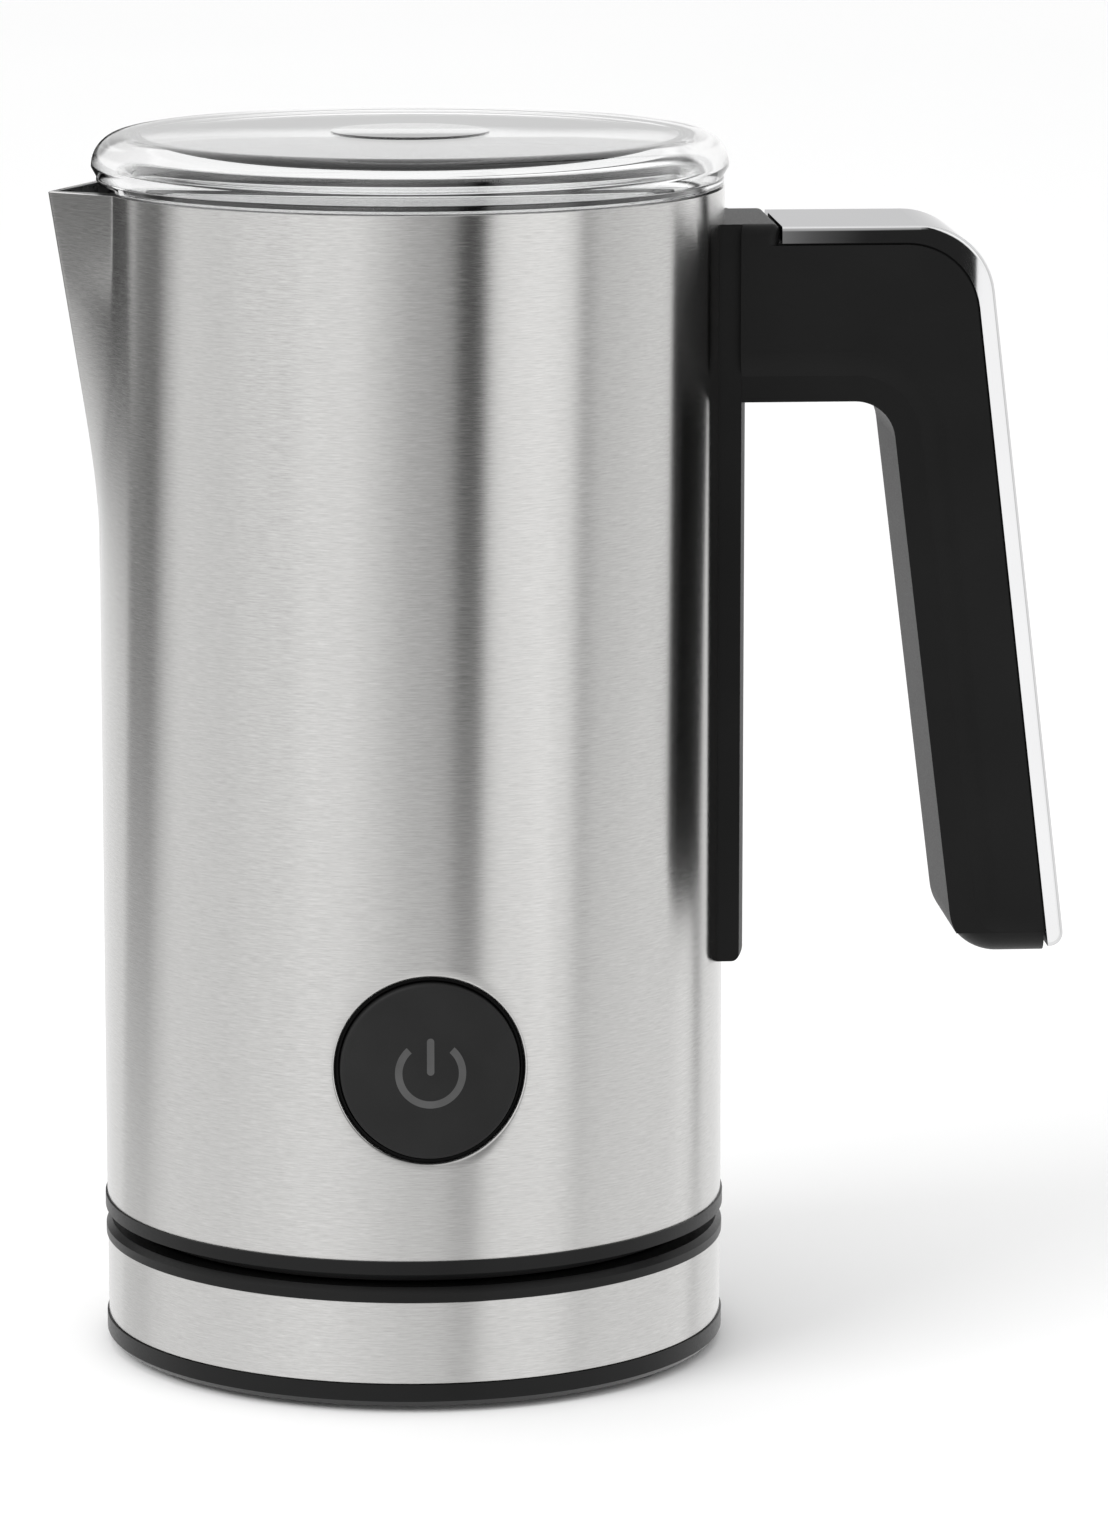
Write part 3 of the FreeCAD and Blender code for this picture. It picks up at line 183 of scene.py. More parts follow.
# materials
class Nodes:
    # a small wrapper so that a material's nodes can be laid down in one line each
    def __init__(self, name):
        self.material = bpy.data.materials.new(name)
        self.material.use_nodes = True
        self.tree = self.material.node_tree
        self.shader = self.tree.nodes["Principled BSDF"]

    def add(self, kind, **settings):
        node = self.tree.nodes.new("ShaderNode" + kind)
        for key, value in settings.items():
            setattr(node, key, value)
        return node

    def link(self, source, target):
        self.tree.links.new(source, target)

    def maths(self, operation, first, second=None):
        node = self.add("Math", operation=operation)
        for socket, value in zip(node.inputs, (first, second)):
            if value is None:
                continue
            if isinstance(value, (int, float)):
                socket.default_value = value
            else:
                self.link(value, socket)
        return node.outputs[0]

    def noise(self, vector, scale, detail=2.0, roughness=0.5):
        node = self.add("TexNoise")
        node.inputs["Scale"].default_value = scale
        node.inputs["Detail"].default_value = detail
        node.inputs["Roughness"].default_value = roughness
        self.link(vector, node.inputs["Vector"])
        return node.outputs["Fac"]

    def spread(self, value, low, high, fromLow=0.3, fromHigh=0.7):
        node = self.add("MapRange")
        node.inputs["From Min"].default_value = fromLow
        node.inputs["From Max"].default_value = fromHigh
        node.inputs["To Min"].default_value = low
        node.inputs["To Max"].default_value = high
        self.link(value, node.inputs["Value"])
        return node.outputs["Result"]

    def blendColours(self, factor, first, second):
        node = self.add("MixRGB")
        node.inputs["Color1"].default_value = (*first, 1)
        node.inputs["Color2"].default_value = (*second, 1)
        self.link(factor, node.inputs["Fac"])
        return node.outputs["Color"]

    def bump(self, height, distance, strength=1.0):
        node = self.add("Bump")
        node.inputs["Distance"].default_value = distance
        node.inputs["Strength"].default_value = strength
        self.link(height, node.inputs["Height"])
        self.link(node.outputs["Normal"], self.shader.inputs["Normal"])

    def set(self, **values):
        for key, value in values.items():
            self.shader.inputs[key.replace("_", " ")].default_value = value


def brushedSteel(name, settings):
    n = Nodes(name)
    n.set(Metallic=1.0, Anisotropic=settings["anisotropy"], Anisotropic_Rotation=settings["brushTurn"])
    position = n.add("TexCoord").outputs["Object"]
    axes = n.add("SeparateXYZ")
    n.link(position, axes.inputs[0])
    around = n.maths("MULTIPLY", n.maths("ARCTAN2", axes.outputs["Y"], axes.outputs["X"]), jugRadius)
    streaks = []
    for length, width, share in settings["streaks"]:
        stretched = n.add("CombineXYZ")
        n.link(n.maths("DIVIDE", around, length), stretched.inputs["X"])
        n.link(n.maths("DIVIDE", axes.outputs["Z"], width), stretched.inputs["Z"])
        streaks.append(n.maths("MULTIPLY", n.noise(stretched.outputs[0], 1.0, roughness=0.6), share))
    both = n.maths("ADD", *streaks)
    n.link(n.blendColours(n.spread(both, 0, 1), settings["darkColour"], settings["lightColour"]),
           n.shader.inputs["Base Color"])
    n.link(n.spread(both, *settings["roughness"]), n.shader.inputs["Roughness"])
    n.bump(both, settings["bumpDepth"], settings["bumpStrength"])
    tangent = n.add("Tangent", direction_type="RADIAL", axis="Z")
    n.link(tangent.outputs[0], n.shader.inputs["Tangent"])
    return n.material


def mouldedPlastic(name, settings):
    # very fine spark texture, with a slightly uneven sheen over larger areas
    n = Nodes(name)
    position = n.add("TexCoord").outputs["Object"]
    grain = n.noise(position, 1 / settings["grainSize"])
    cloud = n.noise(position, 1 / settings["cloudSize"], detail=3.0)
    n.link(n.blendColours(n.spread(cloud, 0, 1), settings["darkColour"], settings["lightColour"]),
           n.shader.inputs["Base Color"])
    n.link(n.spread(grain, *settings["roughness"]), n.shader.inputs["Roughness"])
    n.bump(grain, settings["grainDepth"])
    n.set(Specular_IOR_Level=settings.get("gloss", 0.5))
    return n.material


def plainMetal(name, settings):
    n = Nodes(name)
    n.set(Metallic=1.0, Specular_Tint=(*settings.get("grazing", (1, 1, 1)), 1))
    position = n.add("TexCoord").outputs["Object"]
    cloud = n.noise(position, 1 / settings["cloudSize"], detail=3.0)
    n.link(n.blendColours(n.spread(cloud, 0, 1), settings["darkColour"], settings["lightColour"]),
           n.shader.inputs["Base Color"])
    n.link(n.spread(cloud, *settings["roughness"]), n.shader.inputs["Roughness"])
    return n.material


def clearPlastic(name, settings):
    n = Nodes(name)
    n.set(IOR=settings["ior"], Transmission_Weight=1.0)
    position = n.add("TexCoord").outputs["Object"]
    flow = n.noise(position, 1 / settings["flowSize"], detail=1.0)
    n.link(n.spread(flow, *settings["roughness"]), n.shader.inputs["Roughness"])
    n.link(n.blendColours(n.spread(flow, 0, 1), settings["darkColour"], settings["lightColour"]),
           n.shader.inputs["Base Color"])
    n.bump(flow, settings["flowDepth"])
    return n.material


def grey(light):
    return (light, light, light)


steelLook = {
    "darkColour": (0.53, 0.525, 0.515), "lightColour": (0.70, 0.695, 0.685),
    "roughness": (0.17, 0.23), "anisotropy": 0.95, "brushTurn": 0.25,
    # length, width and share of the brush marks
    "streaks": ((0.0020, 0.00013, 0.6), (0.0055, 0.00026, 0.4)),
    "bumpDepth": 0.00002, "bumpStrength": 0.35,
}
steel = brushedSteel("brushedSteel", steelLook)

metalLooks = {
    "chrome": {"darkColour": (0.76, 0.76, 0.765), "lightColour": (0.80, 0.80, 0.805),
               "roughness": (0.02, 0.05), "cloudSize": 0.03, "grazing": (0.6, 0.6, 0.605)},
    "polishedSteel": {"darkColour": (0.55, 0.55, 0.56), "lightColour": (0.64, 0.64, 0.65),
                      "roughness": (0.12, 0.22), "cloudSize": 0.006},
    "screwSteel": {"darkColour": (0.38, 0.38, 0.40), "lightColour": (0.50, 0.50, 0.50),
                   "roughness": (0.25, 0.4), "cloudSize": 0.002},
    "brass": {"darkColour": (0.62, 0.42, 0.16), "lightColour": (0.78, 0.57, 0.24),
              "roughness": (0.2, 0.35), "cloudSize": 0.004},
    "pressedAluminium": {"darkColour": (0.58, 0.58, 0.60), "lightColour": (0.70, 0.70, 0.71),
                         "roughness": (0.3, 0.45), "cloudSize": 0.008},
    "nickel": {"darkColour": (0.55, 0.53, 0.50), "lightColour": (0.65, 0.63, 0.60),
               "roughness": (0.1, 0.2), "cloudSize": 0.003},
}
metals = {name: plainMetal(name, look) for name, look in metalLooks.items()}

plasticLooks = {
    "blackPlastic": {"darkColour": grey(0.004), "lightColour": grey(0.006), "roughness": (0.3, 0.4),
                     "grainSize": 0.0004, "grainDepth": 0.000004, "cloudSize": 0.02, "gloss": 0.22},
    "handlePlastic": {"darkColour": grey(0.006), "lightColour": grey(0.009), "roughness": (0.38, 0.48),
                      "grainSize": 0.0003, "grainDepth": 0.000006, "cloudSize": 0.03, "gloss": 0.12},
    "buttonPlastic": {"darkColour": grey(0.011), "lightColour": grey(0.014), "roughness": (0.5, 0.6),
                      "grainSize": 0.00025, "grainDepth": 0.000006, "cloudSize": 0.01, "gloss": 0.2},
    "symbolWindow": {"darkColour": grey(0.05), "lightColour": grey(0.065), "roughness": (0.35, 0.45),
                     "grainSize": 0.0004, "grainDepth": 0.000002, "cloudSize": 0.004},
    # the button frame is black plastic, made darker than the other black plastics as painted shade so that
    # the gap round the button reads black
    "frameBlackWithPaintedShade": {"darkColour": grey(0.002), "lightColour": grey(0.003), "roughness": (0.45, 0.55),
                     "grainSize": 0.0004, "grainDepth": 0.000004, "cloudSize": 0.01, "gloss": 0.1},
    "innerPlastic": {"darkColour": grey(0.03), "lightColour": grey(0.04), "roughness": (0.4, 0.5),
                     "grainSize": 0.0004, "grainDepth": 0.000005, "cloudSize": 0.02},
    "rubber": {"darkColour": grey(0.012), "lightColour": grey(0.022), "roughness": (0.65, 0.8),
               "grainSize": 0.0005, "grainDepth": 0.00001, "cloudSize": 0.006},
    "silicone": {"darkColour": grey(0.09), "lightColour": grey(0.12), "roughness": (0.45, 0.6),
                 "grainSize": 0.0006, "grainDepth": 0.000005, "cloudSize": 0.01},
    "potCoating": {"darkColour": grey(0.008), "lightColour": grey(0.016), "roughness": (0.25, 0.4),
                   "grainSize": 0.0006, "grainDepth": 0.000012, "cloudSize": 0.015},
    "boardGreen": {"darkColour": (0.01, 0.08, 0.03), "lightColour": (0.02, 0.13, 0.05),
                   "roughness": (0.3, 0.45), "grainSize": 0.0008, "grainDepth": 0.000008, "cloudSize": 0.005},
    "lampLens": {"darkColour": (0.6, 0.6, 0.62), "lightColour": (0.75, 0.75, 0.78), "roughness": (0.1, 0.2),
                 "grainSize": 0.0005, "grainDepth": 0.000002, "cloudSize": 0.002},
    "wireSleeve": {"darkColour": (0.38, 0.03, 0.02), "lightColour": (0.5, 0.05, 0.04),
                   "roughness": (0.4, 0.5), "grainSize": 0.0004, "grainDepth": 0.000005, "cloudSize": 0.004},
    "whiskPlastic": {"darkColour": grey(0.02), "lightColour": grey(0.03), "roughness": (0.3, 0.42),
                     "grainSize": 0.0004, "grainDepth": 0.000004, "cloudSize": 0.008},
    "bushPlastic": {"darkColour": (0.62, 0.61, 0.58), "lightColour": (0.74, 0.73, 0.7),
                    "roughness": (0.4, 0.5), "grainSize": 0.0004, "grainDepth": 0.000004, "cloudSize": 0.004},
}
plastics = {name: mouldedPlastic(name, look) for name, look in plasticLooks.items()}

lidLook = {"darkColour": (0.97, 0.975, 0.975), "lightColour": (1.0, 1.0, 1.0), "ior": 1.52,
           "roughness": (0.0, 0.03), "flowSize": 0.03, "flowDepth": 0.00003}
lidPlastic = clearPlastic("clearPlastic", lidLook)
print("materials ready:", len(bpy.data.materials))


# steel shell with the spout
shellSize = {
    "wall": 0.0008, "edge": 0.00025, "sharpAngle": 60,
    "spoutDepth": 0.049, "spoutBlend": 0.004, "runOut": 0.063,  # down from the rim
    "tipRadius": 0.002, "creaseAngle": 18.5, "creaseSoftness": 0.00006, "tipDip": 0.0008,
    "fineStep": 0.6, "plainStep": 2.0, "fineHalf": 42.0,  # degrees between columns, and where they are close
    "rowStep": 0.002, "plainRow": 0.006,
    "frontAngle": 90.0,  # the button is a quarter turn from the spout
    "holeRadius": 0.01475, "holeRim": 0.0006, "patchHalf": 0.0205, "patchRings": 6, "patchStep": 0.0012,
    # how deep each ring of the rolled edge sinks, and how much of the rim is still outside it
    "rolledEdge": ((0.00003, 0.8), (0.00012, 0.5), (0.0003, 0.2), (0.0006, 0.0)),
}


def spoutedRadius(offAxis, z, radius, reachAtRim, tipRadius, creaseAngle):
    # radius of a spouted wall at an angle in degrees from the spout's middle
    s = shellSize
    slope = lambda depth: math.log(1 + math.exp((s["spoutDepth"] - depth) / s["spoutBlend"]))
    depth = max(0.0, rimZ - z)
    fade = min(1.0, max(0.0, (s["runOut"] - depth) / (s["runOut"] - s["spoutDepth"])))
    reach = radius + (reachAtRim - radius) * slope(depth) / slope(0) * fade
    if reach - radius < tiny:
        return radius
    centre = reach - tipRadius
    crease = math.acos(min(1.0, (radius - tipRadius) / centre))
    tipTurn = crease
    if math.degrees(crease) > creaseAngle:
        crease = math.radians(creaseAngle)
        across = radius * math.sin(crease)
        along = radius * math.cos(crease) - centre
        tipTurn = math.atan2(across, along) - math.acos(tipRadius / math.hypot(across, along))
    turn = math.radians(abs(offAxis))
    tipEdge = math.atan2(tipRadius * math.sin(tipTurn), centre + tipRadius * math.cos(tipTurn))
    if turn < tipEdge:
        return centre * math.cos(turn) + math.sqrt(tipRadius ** 2 - (centre * math.sin(turn)) ** 2)
    if turn > tipTurn:
        return radius
    flat = tipRadius + centre * math.cos(tipTurn)  # the flank's distance from the axis
    flank = flat / math.cos(turn - tipTurn)
    soft = s["creaseSoftness"]
    return max(radius, flank) + soft * math.log(1 + math.exp(-abs(radius - flank) / soft))


def spoutColumns():
    # angles from the spout's middle: close together round the spout, wider elsewhere
    s = shellSize
    fineCount = round(s["fineHalf"] / s["fineStep"])
    plainCount = round((360 - 2 * s["fineHalf"]) / s["plainStep"])
    angles = [-s["fineHalf"] + s["fineStep"] * i for i in range(2 * fineCount)]
    angles += [s["fineHalf"] + s["plainStep"] * i for i in range(plainCount)]
    return angles


def evenly(low, high, step):
    count = max(1, round((high - low) / step))
    return [low + (high - low) * i / count for i in range(count)]


def shellRows(patchLow, patchHigh):
    s = shellSize
    rows = evenly(shellLow.z, patchLow, s["plainRow"]) + evenly(patchLow, patchHigh, s["patchStep"])
    rows += evenly(patchHigh, rimZ - s["runOut"], s["plainRow"])
    return rows + evenly(rimZ - s["runOut"], rimZ, s["rowStep"]) + [rimZ]


def shellAngles():
    # every column's angle from the spout, with the first and last column of the patch round the button
    s = shellSize
    patchTurn = math.degrees(math.asin(s["patchHalf"] / jugRadius))
    patchStep = s["patchStep"] / jugRadius * 180 / math.pi
    beside = [a for a in spoutColumns() if abs(a - s["frontAngle"]) > patchTurn + s["plainStep"] / 2]
    across = evenly(s["frontAngle"] - patchTurn, s["frontAngle"] + patchTurn, patchStep)
    angles = sorted(beside + across + [s["frontAngle"] + patchTurn])
    first = angles.index(across[0])
    return angles, first, first + len(across)


def shellPoint(angle, z):
    # a point of the spouted wall; the spout's tip dips a little below the rim
    s = shellSize
    radius = spoutedRadius(angle, z, jugRadius, spoutReach, s["tipRadius"], s["creaseAngle"])
    turn = math.radians(180 + angle)
    x, y = radius * math.cos(turn), radius * math.sin(turn)
    startX = jugRadius * math.cos(math.radians(s["creaseAngle"]))
    dip = s["tipDip"] * max(0.0, (-x - startX) / (spoutReach - startX))
    share = max(0.0, 1 - (rimZ - z) / s["runOut"])
    return (x, y, z - dip * share)


def holeRing(bm, loop, radiusOf, sunk=0.0):
    # a ring of points on the wall round the button, one on each spoke to the loop's points
    ring = []
    for vert in loop:
        across, up = vert.co.x, vert.co.z - buttonZ
        fromCentre = math.hypot(across, up)
        radius = radiusOf(fromCentre)
        x, z = across / fromCentre * radius, up / fromCentre * radius
        ring.append(bm.verts.new((x, -math.sqrt(jugRadius ** 2 - x * x) + sunk, buttonZ + z)))
    return ring


def makeShell():
    s = shellSize
    patchLow, patchHigh = buttonZ - s["patchHalf"], buttonZ + s["patchHalf"]
    rows = shellRows(patchLow, patchHigh)
    angles, first, last = shellAngles()
    lowRow = next(i for i, z in enumerate(rows) if abs(z - patchLow) < tiny)
    highRow = next(i for i, z in enumerate(rows) if abs(z - patchHigh) < tiny)
    bm = bmesh.new()
    grid = []
    for r, z in enumerate(rows):
        verts = []
        for i, angle in enumerate(angles):
            inPatch = lowRow < r < highRow and first < i < last
            verts.append(None if inPatch else bm.verts.new(shellPoint(angle, z)))
        grid.append(verts)
    count = len(angles)
    for r in range(len(rows) - 1):
        for i in range(count):
            if lowRow <= r < highRow and first <= i < last:
                continue
            n = (i + 1) % count
            bm.faces.new((grid[r][i], grid[r][n], grid[r + 1][n], grid[r + 1][i]))
    # the patch round the button: spokes from the grid's edge to the hole, which has a rolled edge
    loop = [grid[lowRow][i] for i in range(first, last)]
    loop += [grid[r][last] for r in range(lowRow, highRow)]
    loop += [grid[highRow][i] for i in range(last, first, -1)]
    loop += [grid[r][first] for r in range(highRow, lowRow, -1)]
    outerRim = s["holeRadius"] + s["holeRim"]
    rings = [loop]
    for step in range(1, s["patchRings"] + 1):
        share = step / s["patchRings"]
        rings.append(holeRing(bm, loop, lambda far: far + (outerRim - far) * share))
    for sunk, outside in s["rolledEdge"]:
        rings.append(holeRing(bm, loop, lambda far: s["holeRadius"] + s["holeRim"] * outside, sunk))
    for outer, inner in zip(rings, rings[1:]):
        for k in range(len(loop)):
            n = (k + 1) % len(loop)
            bm.faces.new((outer[k], outer[n], inner[n], inner[k]))
    mesh = meshFromBm("steelShell", bm)
    piece = finishPiece("steel_shell", mesh, "jug", steel, ["outer_shell"])
    thick = piece.modifiers.new("sheetThickness", "SOLIDIFY")
    thick.thickness = s["wall"]
    thick.offset = -1
    addBevel(piece, s["edge"], segments=3, angle=s["sharpAngle"])


makeShell()
print("steel shell made")


# base band
bandSize = {"wall": 0.0008, "edge": 0.0002, "turns": 180}


def makeBand():
    s = bandSize
    radius = bandHigh.y
    corners = [(radius, bandLow.z, s["edge"]), (radius, bandHigh.z, s["edge"]),
               (radius - s["wall"], bandHigh.z, s["edge"]), (radius - s["wall"], bandLow.z, s["edge"])]
    mesh = lathe("steelBand", roundedOutline(corners, steps=3), s["turns"])
    keepFlatsFlat(finishPiece("steel_band", mesh, "base", steel, ["base_band"]))


makeBand()
print("base band made")


# lid
lidSize = {
    "seatGap": 0.00025, "top": 0.0024, "widest": 0.003, "footHeight": 0.0012, "footInset": 0.0001,
    "footInner": 0.0031, "skirt": 0.006, "skirtWall": 0.002, "cavityTop": 0.0032,
    "disc": 0.0127, "discHeight": 0.0002, "discEdge": 0.0001, "notchAngle": 20.0,
    "round": 0.0005, "footRound": 0.0003, "cavityRound": 0.0026, "undersideRound": 0.0012,
    "shoulderSteps": 14, "turns": 216,
}


def lidOutline(low, high):
    # closed outline from the plateau's edge down the outside, up the inside and back along the top
    s = lidSize
    widest = high.y
    top = high.z - s["discHeight"]
    seat = rimZ + s["seatGap"]
    footEdge = jugRadius - s["footInset"]
    footInner = jugRadius - s["footInner"]
    skirt = jugRadius - s["skirt"]
    skirtInner = skirt - s["skirtWall"]
    cavity = top - s["cavityTop"]
    underside = top - s["top"]
    shoulder = top - (seat + s["widest"])
    outline = []
    for i in range(s["shoulderSteps"] + 1):
        turn = math.radians(90 * i / s["shoulderSteps"])
        outline.append(Vector((widest - shoulder + shoulder * math.sin(turn),
                               seat + s["widest"] + shoulder * math.cos(turn))))
    outline += roundedOutline([
        (footEdge, seat + s["footHeight"], s["footRound"]), (footEdge, seat, s["footRound"]),
        (footInner, seat, s["footRound"]), (footInner, cavity, s["cavityRound"]),
        (skirt, cavity, s["round"]), (skirt, low.z, s["round"]),
        (skirtInner, low.z, s["round"]), (skirtInner, underside, s["undersideRound"]),
    ], steps=4)
    outline += [Vector((0, underside)), Vector((0, high.z))]
    return outline + [Vector((s["disc"] - s["discEdge"], high.z)), Vector((s["disc"], top))]


def makeLid():
    s = lidSize
    mesh = lathe("clearLid", lidOutline(*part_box("lid")), s["turns"])
    # the foot stops at each side of the spout, so that steam and milk can pass
    notchTop = rimZ + s["seatGap"] + s["footHeight"] - s["round"]
    footInner = jugRadius - s["footInner"]
    for vert in mesh.vertices:
        offSpout = math.degrees(math.atan2(vert.co.y, -vert.co.x))
        onFoot = math.hypot(vert.co.x, vert.co.y) > footInner - tiny
        if abs(offSpout) < s["notchAngle"] and onFoot and vert.co.z < notchTop:
            vert.co.z = notchTop
    keepFlatsFlat(finishPiece("clear_lid", mesh, "lid", lidPlastic, ["lid"]))


makeLid()
print("lid made")


# whisk coil: a real wire wound round the whisk's rim
coilSize = {"wire": 0.0008, "turns": 56, "stepsPerTurn": 14, "ringRadius": 0.027}


def makeWhiskCoil():
    s = coilSize
    low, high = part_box("whisk_coil")
    coilRadius = (high.z - low.z) / 2 - s["wire"] / 2
    centreZ = (low.z + high.z) / 2
    points = []
    count = s["turns"] * s["stepsPerTurn"]
    for i in range(count):
        turn = 2 * math.pi * i / count
        twist = turn * s["turns"]
        radius = s["ringRadius"] + coilRadius * math.cos(twist)
        z = centreZ + coilRadius * math.sin(twist)
        points.append((radius * math.cos(turn), radius * math.sin(turn), z))
    mesh = wireMesh("whiskWire", points, s["wire"], closed=True)
    finishPiece("whisk_wire", mesh, "whisk", metals["polishedSteel"], ["whisk_coil"])


makeWhiskCoil()
print("whisk wire made")


# return spring behind the button
springSize = {"wire": 0.001, "turns": 4, "stepsPerTurn": 40, "travel": 0.0015}


def makeButtonSpring():
    s = springSize
    low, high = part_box("button_spring")
    radius = (high.z - low.z) / 2 - s["wire"] / 2
    start, end = low.y + s["wire"] / 2, high.y - s["wire"] / 2
    points = []
    count = s["turns"] * s["stepsPerTurn"]
    for i in range(count + 1):
        turn = 2 * math.pi * i / s["stepsPerTurn"]
        along = start + (end - start) * i / count
        points.append((radius * math.cos(turn), along, buttonZ + radius * math.sin(turn)))
    mesh = wireMesh("springWire", points, s["wire"], closed=False)
    wireSteel = metals["polishedSteel"]
    piece = finishPiece("return_spring", mesh, "jug", wireSteel, ["button_spring"])
    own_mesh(piece)


makeButtonSpring()
print("return spring made")


# CAD parts that keep their own shape, with their finishes and the widths of their softened edges
finishes = {
    "blackPlastic": ["base_top_cover", "base_bottom_cover", "jug_bottom_cover"],
    "handlePlastic": ["handle_plate", "handle_body"],
    "chrome": ["handle_trim"],
    "rubber": ["base_feet", "cord_gland"],
    "silicone": ["lid_seal", "rim_seal"],
    "potCoating": ["inner_pot"],
    "buttonPlastic": ["button_cap"],
    "symbolWindow": ["power_symbol_window"],
    "frameBlackWithPaintedShade": ["button_frame"],
    "innerPlastic": ["base_connector", "jug_socket", "cord_clamp", "board_holder", "switch_body",
                     "switch_plunger", "board_components"],
    "brass": ["base_contacts", "socket_contacts"],
    "screwSteel": ["base_screws", "cord_clamp_screws", "body_screws", "motor_screws", "holder_screws",
                   "handle_screws"],
    "polishedSteel": ["whisk_spindle", "motor_shaft", "motor_standoffs", "motor",
                      "temperature_sensor", "thermal_fuse", "heater_tube"],
    "pressedAluminium": ["heater_plate", "motor_bracket"],
    "boardGreen": ["circuit_board"],
    "lampLens": ["indicator_lamp"],
    "wireSleeve": ["heater_leads", "motor_leads"],
    "whiskPlastic": ["rotor_hub", "whisk_hub"],
    "nickel": ["drive_magnets", "whisk_magnets"],
    "bushPlastic": ["whisk_bush"],
}
softEdges = {
    "base_top_cover": 0.0003, "base_bottom_cover": 0.0003, "jug_bottom_cover": 0.0003,
    "handle_plate": 0.0008, "handle_body": 0.0003, "handle_trim": 0.0003, "button_cap": 0.0003,
}

for finish, members in finishes.items():
    material = metals.get(finish) or plastics[finish]
    for name in members:
        nodes[name].data.materials.clear()
        nodes[name].data.materials.append(material)
for name, width in softEdges.items():
    addBevel(nodes[name], width, segments=2, angle=40)
print("finishes given to", sum(len(m) for m in finishes.values()), "CAD parts")


# studio
studio = {
    "floorSize": 14.0, "floorSteps": 28, "floorCloud": 1.5,
    "floorDark": grey(0.9603), "floorLight": grey(0.97),
    "wallRadius": 0.46, "wallBottom": -0.25, "wallTop": 1.4, "wallTurns": 240,
    # brightness of the panels round the table, by angle from the camera, anticlockwise seen from above
    "panels": ((-180, 1.0), (-140, 0.95), (-128, 0.85), (-123, 0.24), (-108, 0.18), (-101, 0.7), (-94, 0.97),
               (-81, 0.9), (-65, 0.84), (-48, 0.83), (-36, 0.99), (-24, 1.06), (-14, 0.85), (-3, 0.58),
               (6, 0.48), (11.7, 0.36), (14.7, 0.02), (22, 0.02), (24.6, 0.9), (30, 1.1), (45, 1.18),
               (55, 1.05), (60, 0.45), (66, 0.72), (86, 0.88), (105, 0.95), (113, 1.25), (120, 1.2),
               (125, 0.04), (128.5, 0.04), (131.5, 1.0)),
    "lean": 0.44, "leftLean": 0.5, "leanStart": 0.02,  # radians a metre that the panels lean to the right
    # low down the panels even out
    "brightest": 2.0, "panelMiddle": 0.95, "fadeBottom": -0.08, "fadeTop": 0.07, "fadeShare": 0.82,
    # a dark screen that stands high behind the spout
    "screenTurn": -146, "screenHalf": 28, "screenSoft": 3, "screenBottom": 0.075, "screenSoftness": 0.02,
    "screenLight": 0.02, "screenTop": 0.21,
    "cardLow": (0.084, -0.15, 0.02), "cardHigh": (0.115, -0.15, 0.17), "cardLight": 1.15,
    "worldLight": 1.0,
    "keyPlace": (-1.2, -0.8, 1.2), "keyAim": (0, 0, 0.08), "keySize": (1.0, 1.0), "keyPower": 14,
}
viewpoint = {
    "place": (-0.0812, -1.0982, 0.2965), "heading": 4.2, "pitch": 10.415,
    "focal": 163.02, "sensor": 36.0, "near": 0.05, "far": 50,
}


def makeCamera():
    v = viewpoint
    data = bpy.data.cameras.new("camera")
    data.lens = v["focal"]
    data.sensor_width = v["sensor"]
    data.clip_start, data.clip_end = v["near"], v["far"]
    camera = place("camera", data)
    camera.location = v["place"]
    camera.rotation_euler = (math.radians(90 - v["pitch"]), 0, math.radians(-v["heading"]))
    bpy.context.scene.camera = camera


def makeFloor():
    size = studio["floorSize"] / 2
    steps = studio["floorSteps"]
    bm = bmesh.new()
    rows = []
    for i in range(steps + 1):
        y = -size + 2 * size * i / steps
        rows.append([bm.verts.new((-size + 2 * size * k / steps, y, 0)) for k in range(steps + 1)])
    for a, b in zip(rows, rows[1:]):
        for k in range(steps):
            bm.faces.new((a[k], a[k + 1], b[k + 1], b[k]))
    mesh = meshFromBm("floor", bm)
    floor = place("floor", mesh)
    n = Nodes("paleFloor")
    cloud = n.noise(n.add("TexCoord").outputs["Object"], studio["floorCloud"])
    n.link(n.blendColours(n.spread(cloud, 0, 1), studio["floorDark"], studio["floorLight"]),
           n.shader.inputs["Base Color"])
    n.set(Roughness=0.7, Specular_IOR_Level=0.1)
    mesh.materials.append(n.material)
    floor.visible_glossy = False


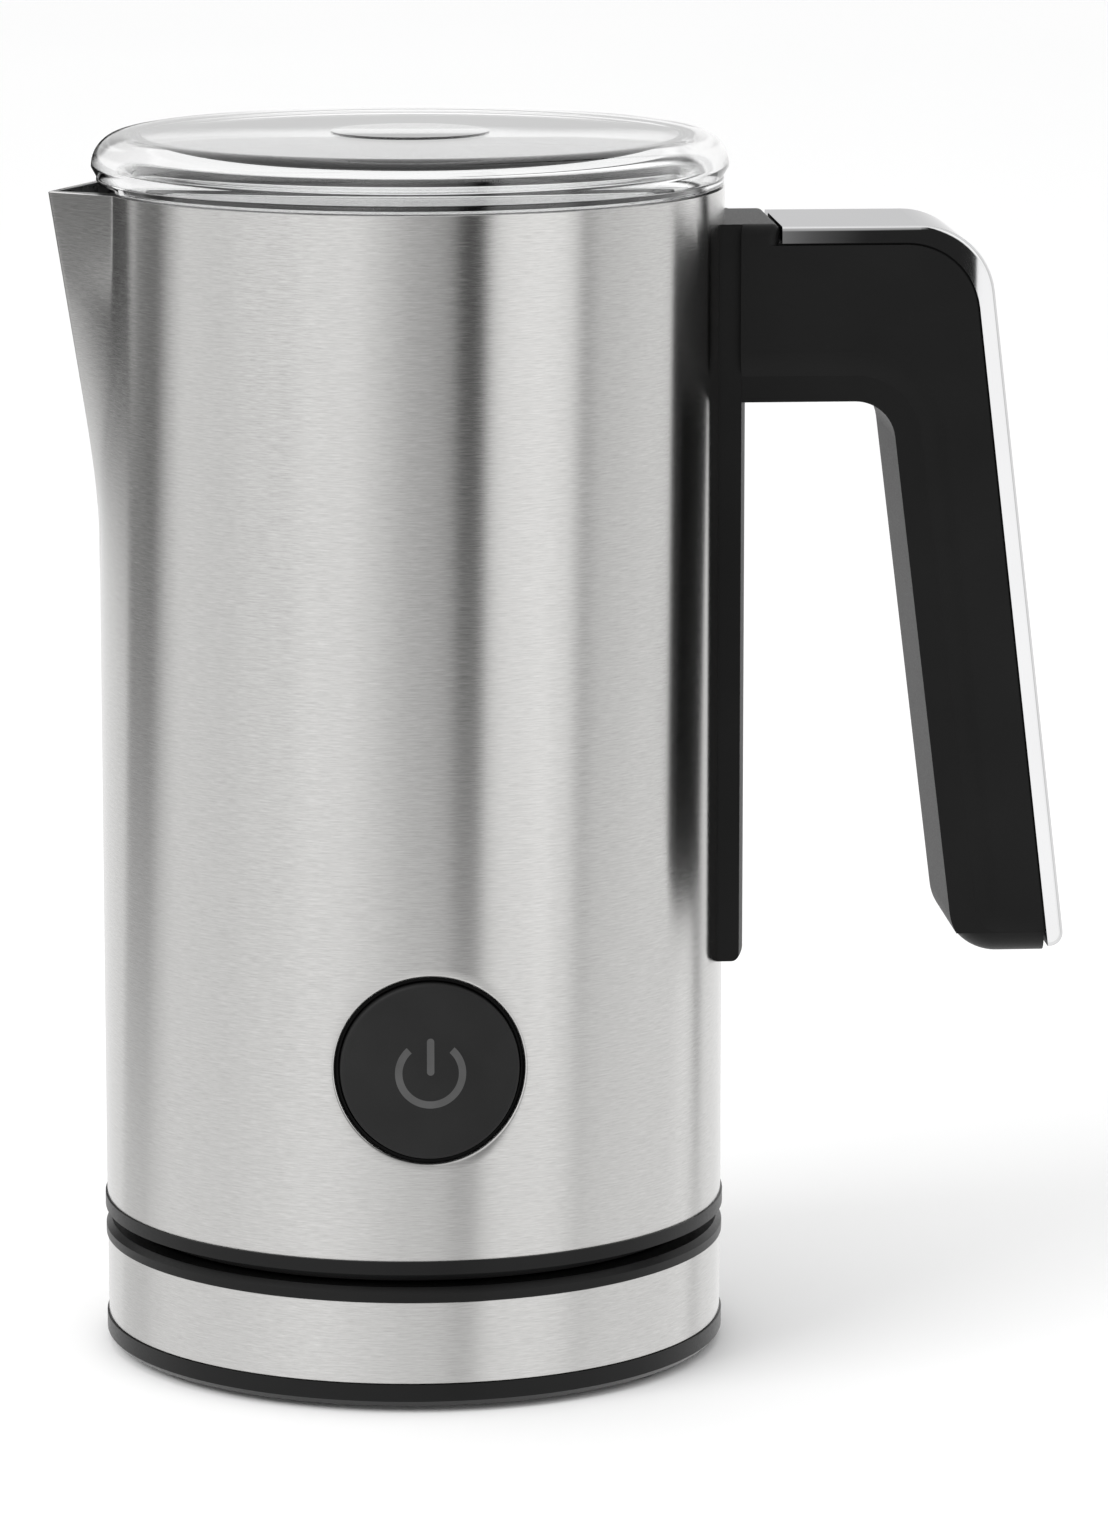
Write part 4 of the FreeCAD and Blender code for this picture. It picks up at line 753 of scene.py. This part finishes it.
def makePanels():
    # a round screen that only reflections see: bright and dark panels standing round the table
    s = studio
    turns = s["wallTurns"]
    bm = bmesh.new()
    rings = [[bm.verts.new(polarPoint(s["wallRadius"], 360 * i / turns, z)) for i in range(turns)]
             for z in (s["wallBottom"], s["wallTop"])]
    for k in range(turns):
        n = (k + 1) % turns
        bm.faces.new((rings[0][k], rings[0][n], rings[1][n], rings[1][k]))
    mesh = meshFromBm("panels", bm)
    screen = place("panels", mesh)
    screen.location = (axisX, 0, 0)
    towardsCamera = Vector(viewpoint["place"]) - screen.location
    screen.rotation_euler = (0, 0, math.atan2(towardsCamera.y, towardsCamera.x))
    n = Nodes("panelLight")
    tree = n.tree
    tree.nodes.remove(n.shader)
    position = n.add("TexCoord").outputs["Object"]
    axes = n.add("SeparateXYZ")
    n.link(position, axes.inputs[0])
    turn = n.maths("ARCTAN2", axes.outputs["Y"], axes.outputs["X"])
    leftShare = n.maths("MULTIPLY", n.maths("MINIMUM", turn, 0.0), -s["leftLean"])
    height = n.maths("SUBTRACT", axes.outputs["Z"], s["leanStart"])
    lean = n.maths("MULTIPLY", n.maths("ADD", leftShare, s["lean"]), height)
    share = n.maths("ADD", n.maths("DIVIDE", n.maths("SUBTRACT", turn, lean), 2 * math.pi), 0.5)
    ramp = n.add("ValToRGB")
    elements = ramp.color_ramp.elements
    # a ramp's colours are best kept under 1, so they are scaled down here and up again in the glow
    scale = s["brightest"]
    for i, (angle, light) in enumerate(s["panels"]):
        spot = elements[0] if i == 0 else elements.new((angle + 180) / 360)
        spot.color = (*grey(light / scale), 1)
    elements[-1].color = elements[0].color
    n.link(share, ramp.inputs[0])
    even = n.add("MixRGB")
    even.inputs["Color2"].default_value = (*grey(s["panelMiddle"] / scale), 1)
    fade = n.spread(axes.outputs["Z"], s["fadeShare"], 0.0, s["fadeBottom"], s["fadeTop"])
    n.link(fade, even.inputs["Fac"])
    n.link(ramp.outputs["Color"], even.inputs["Color1"])
    offScreen = n.maths("ABSOLUTE", n.maths("SUBTRACT", turn, math.radians(s["screenTurn"])))
    half, soft = math.radians(s["screenHalf"]), math.radians(s["screenSoft"])
    aside = n.spread(offScreen, 1.0, 0.0, half - soft, half + soft)
    above = n.spread(axes.outputs["Z"], 0.0, 1.0, s["screenBottom"], s["screenBottom"] + s["screenSoftness"])
    below = n.spread(axes.outputs["Z"], 1.0, 0.0, s["screenTop"], s["screenTop"] + s["screenSoftness"])
    screened = n.add("MixRGB")
    n.link(n.maths("MULTIPLY", aside, n.maths("MULTIPLY", above, below)), screened.inputs["Fac"])
    n.link(even.outputs["Color"], screened.inputs["Color1"])
    screened.inputs["Color2"].default_value = (*grey(s["screenLight"] / scale), 1)
    glow = n.add("Emission")
    glow.inputs["Strength"].default_value = scale
    n.link(screened.outputs["Color"], glow.inputs["Color"])
    n.link(glow.outputs[0], tree.nodes["Material Output"].inputs["Surface"])
    mesh.materials.append(n.material)
    screen.visible_camera = False
    screen.visible_diffuse = False
    screen.visible_shadow = False


def makeCard():
    # a bright card in front of the grip, which only reflections see
    s = studio
    bm = bmesh.new()
    low, high = s["cardLow"], s["cardHigh"]
    corners = ((low[0], low[2]), (high[0], low[2]), (high[0], high[2]), (low[0], high[2]))
    bm.faces.new([bm.verts.new((x, low[1], z)) for x, z in corners])
    mesh = meshFromBm("card", bm)
    card = place("card", mesh)
    n = Nodes("cardLight")
    n.tree.nodes.remove(n.shader)
    glow = n.add("Emission")
    glow.inputs["Strength"].default_value = s["cardLight"]
    n.link(glow.outputs[0], n.tree.nodes["Material Output"].inputs["Surface"])
    mesh.materials.append(n.material)
    card.visible_camera = False
    card.visible_diffuse = False
    card.visible_shadow = False
    card.visible_transmission = False


def makeWorld():
    world = bpy.data.worlds.new("studioWorld")
    bpy.context.scene.world = world
    world.use_nodes = True
    back = world.node_tree.nodes["Background"]
    back.inputs["Color"].default_value = (1, 1, 1, 1)
    back.inputs["Strength"].default_value = studio["worldLight"]


def makeLight(name, spot, target, size, power):
    data = bpy.data.lights.new(name, "AREA")
    data.shape = "RECTANGLE"
    data.size, data.size_y = size
    data.energy = power
    light = place(name, data)
    light.location = spot
    aim = Vector(target) - Vector(spot)
    light.rotation_mode = "QUATERNION"
    light.rotation_quaternion = aim.to_track_quat("-Z", "Y")


makeCamera()
makeFloor()
makePanels()
makeCard()
makeWorld()
makeLight("keyLight", studio["keyPlace"], studio["keyAim"], studio["keySize"], studio["keyPower"])
bpy.context.scene.view_settings.view_transform = "Standard"
print("studio ready")
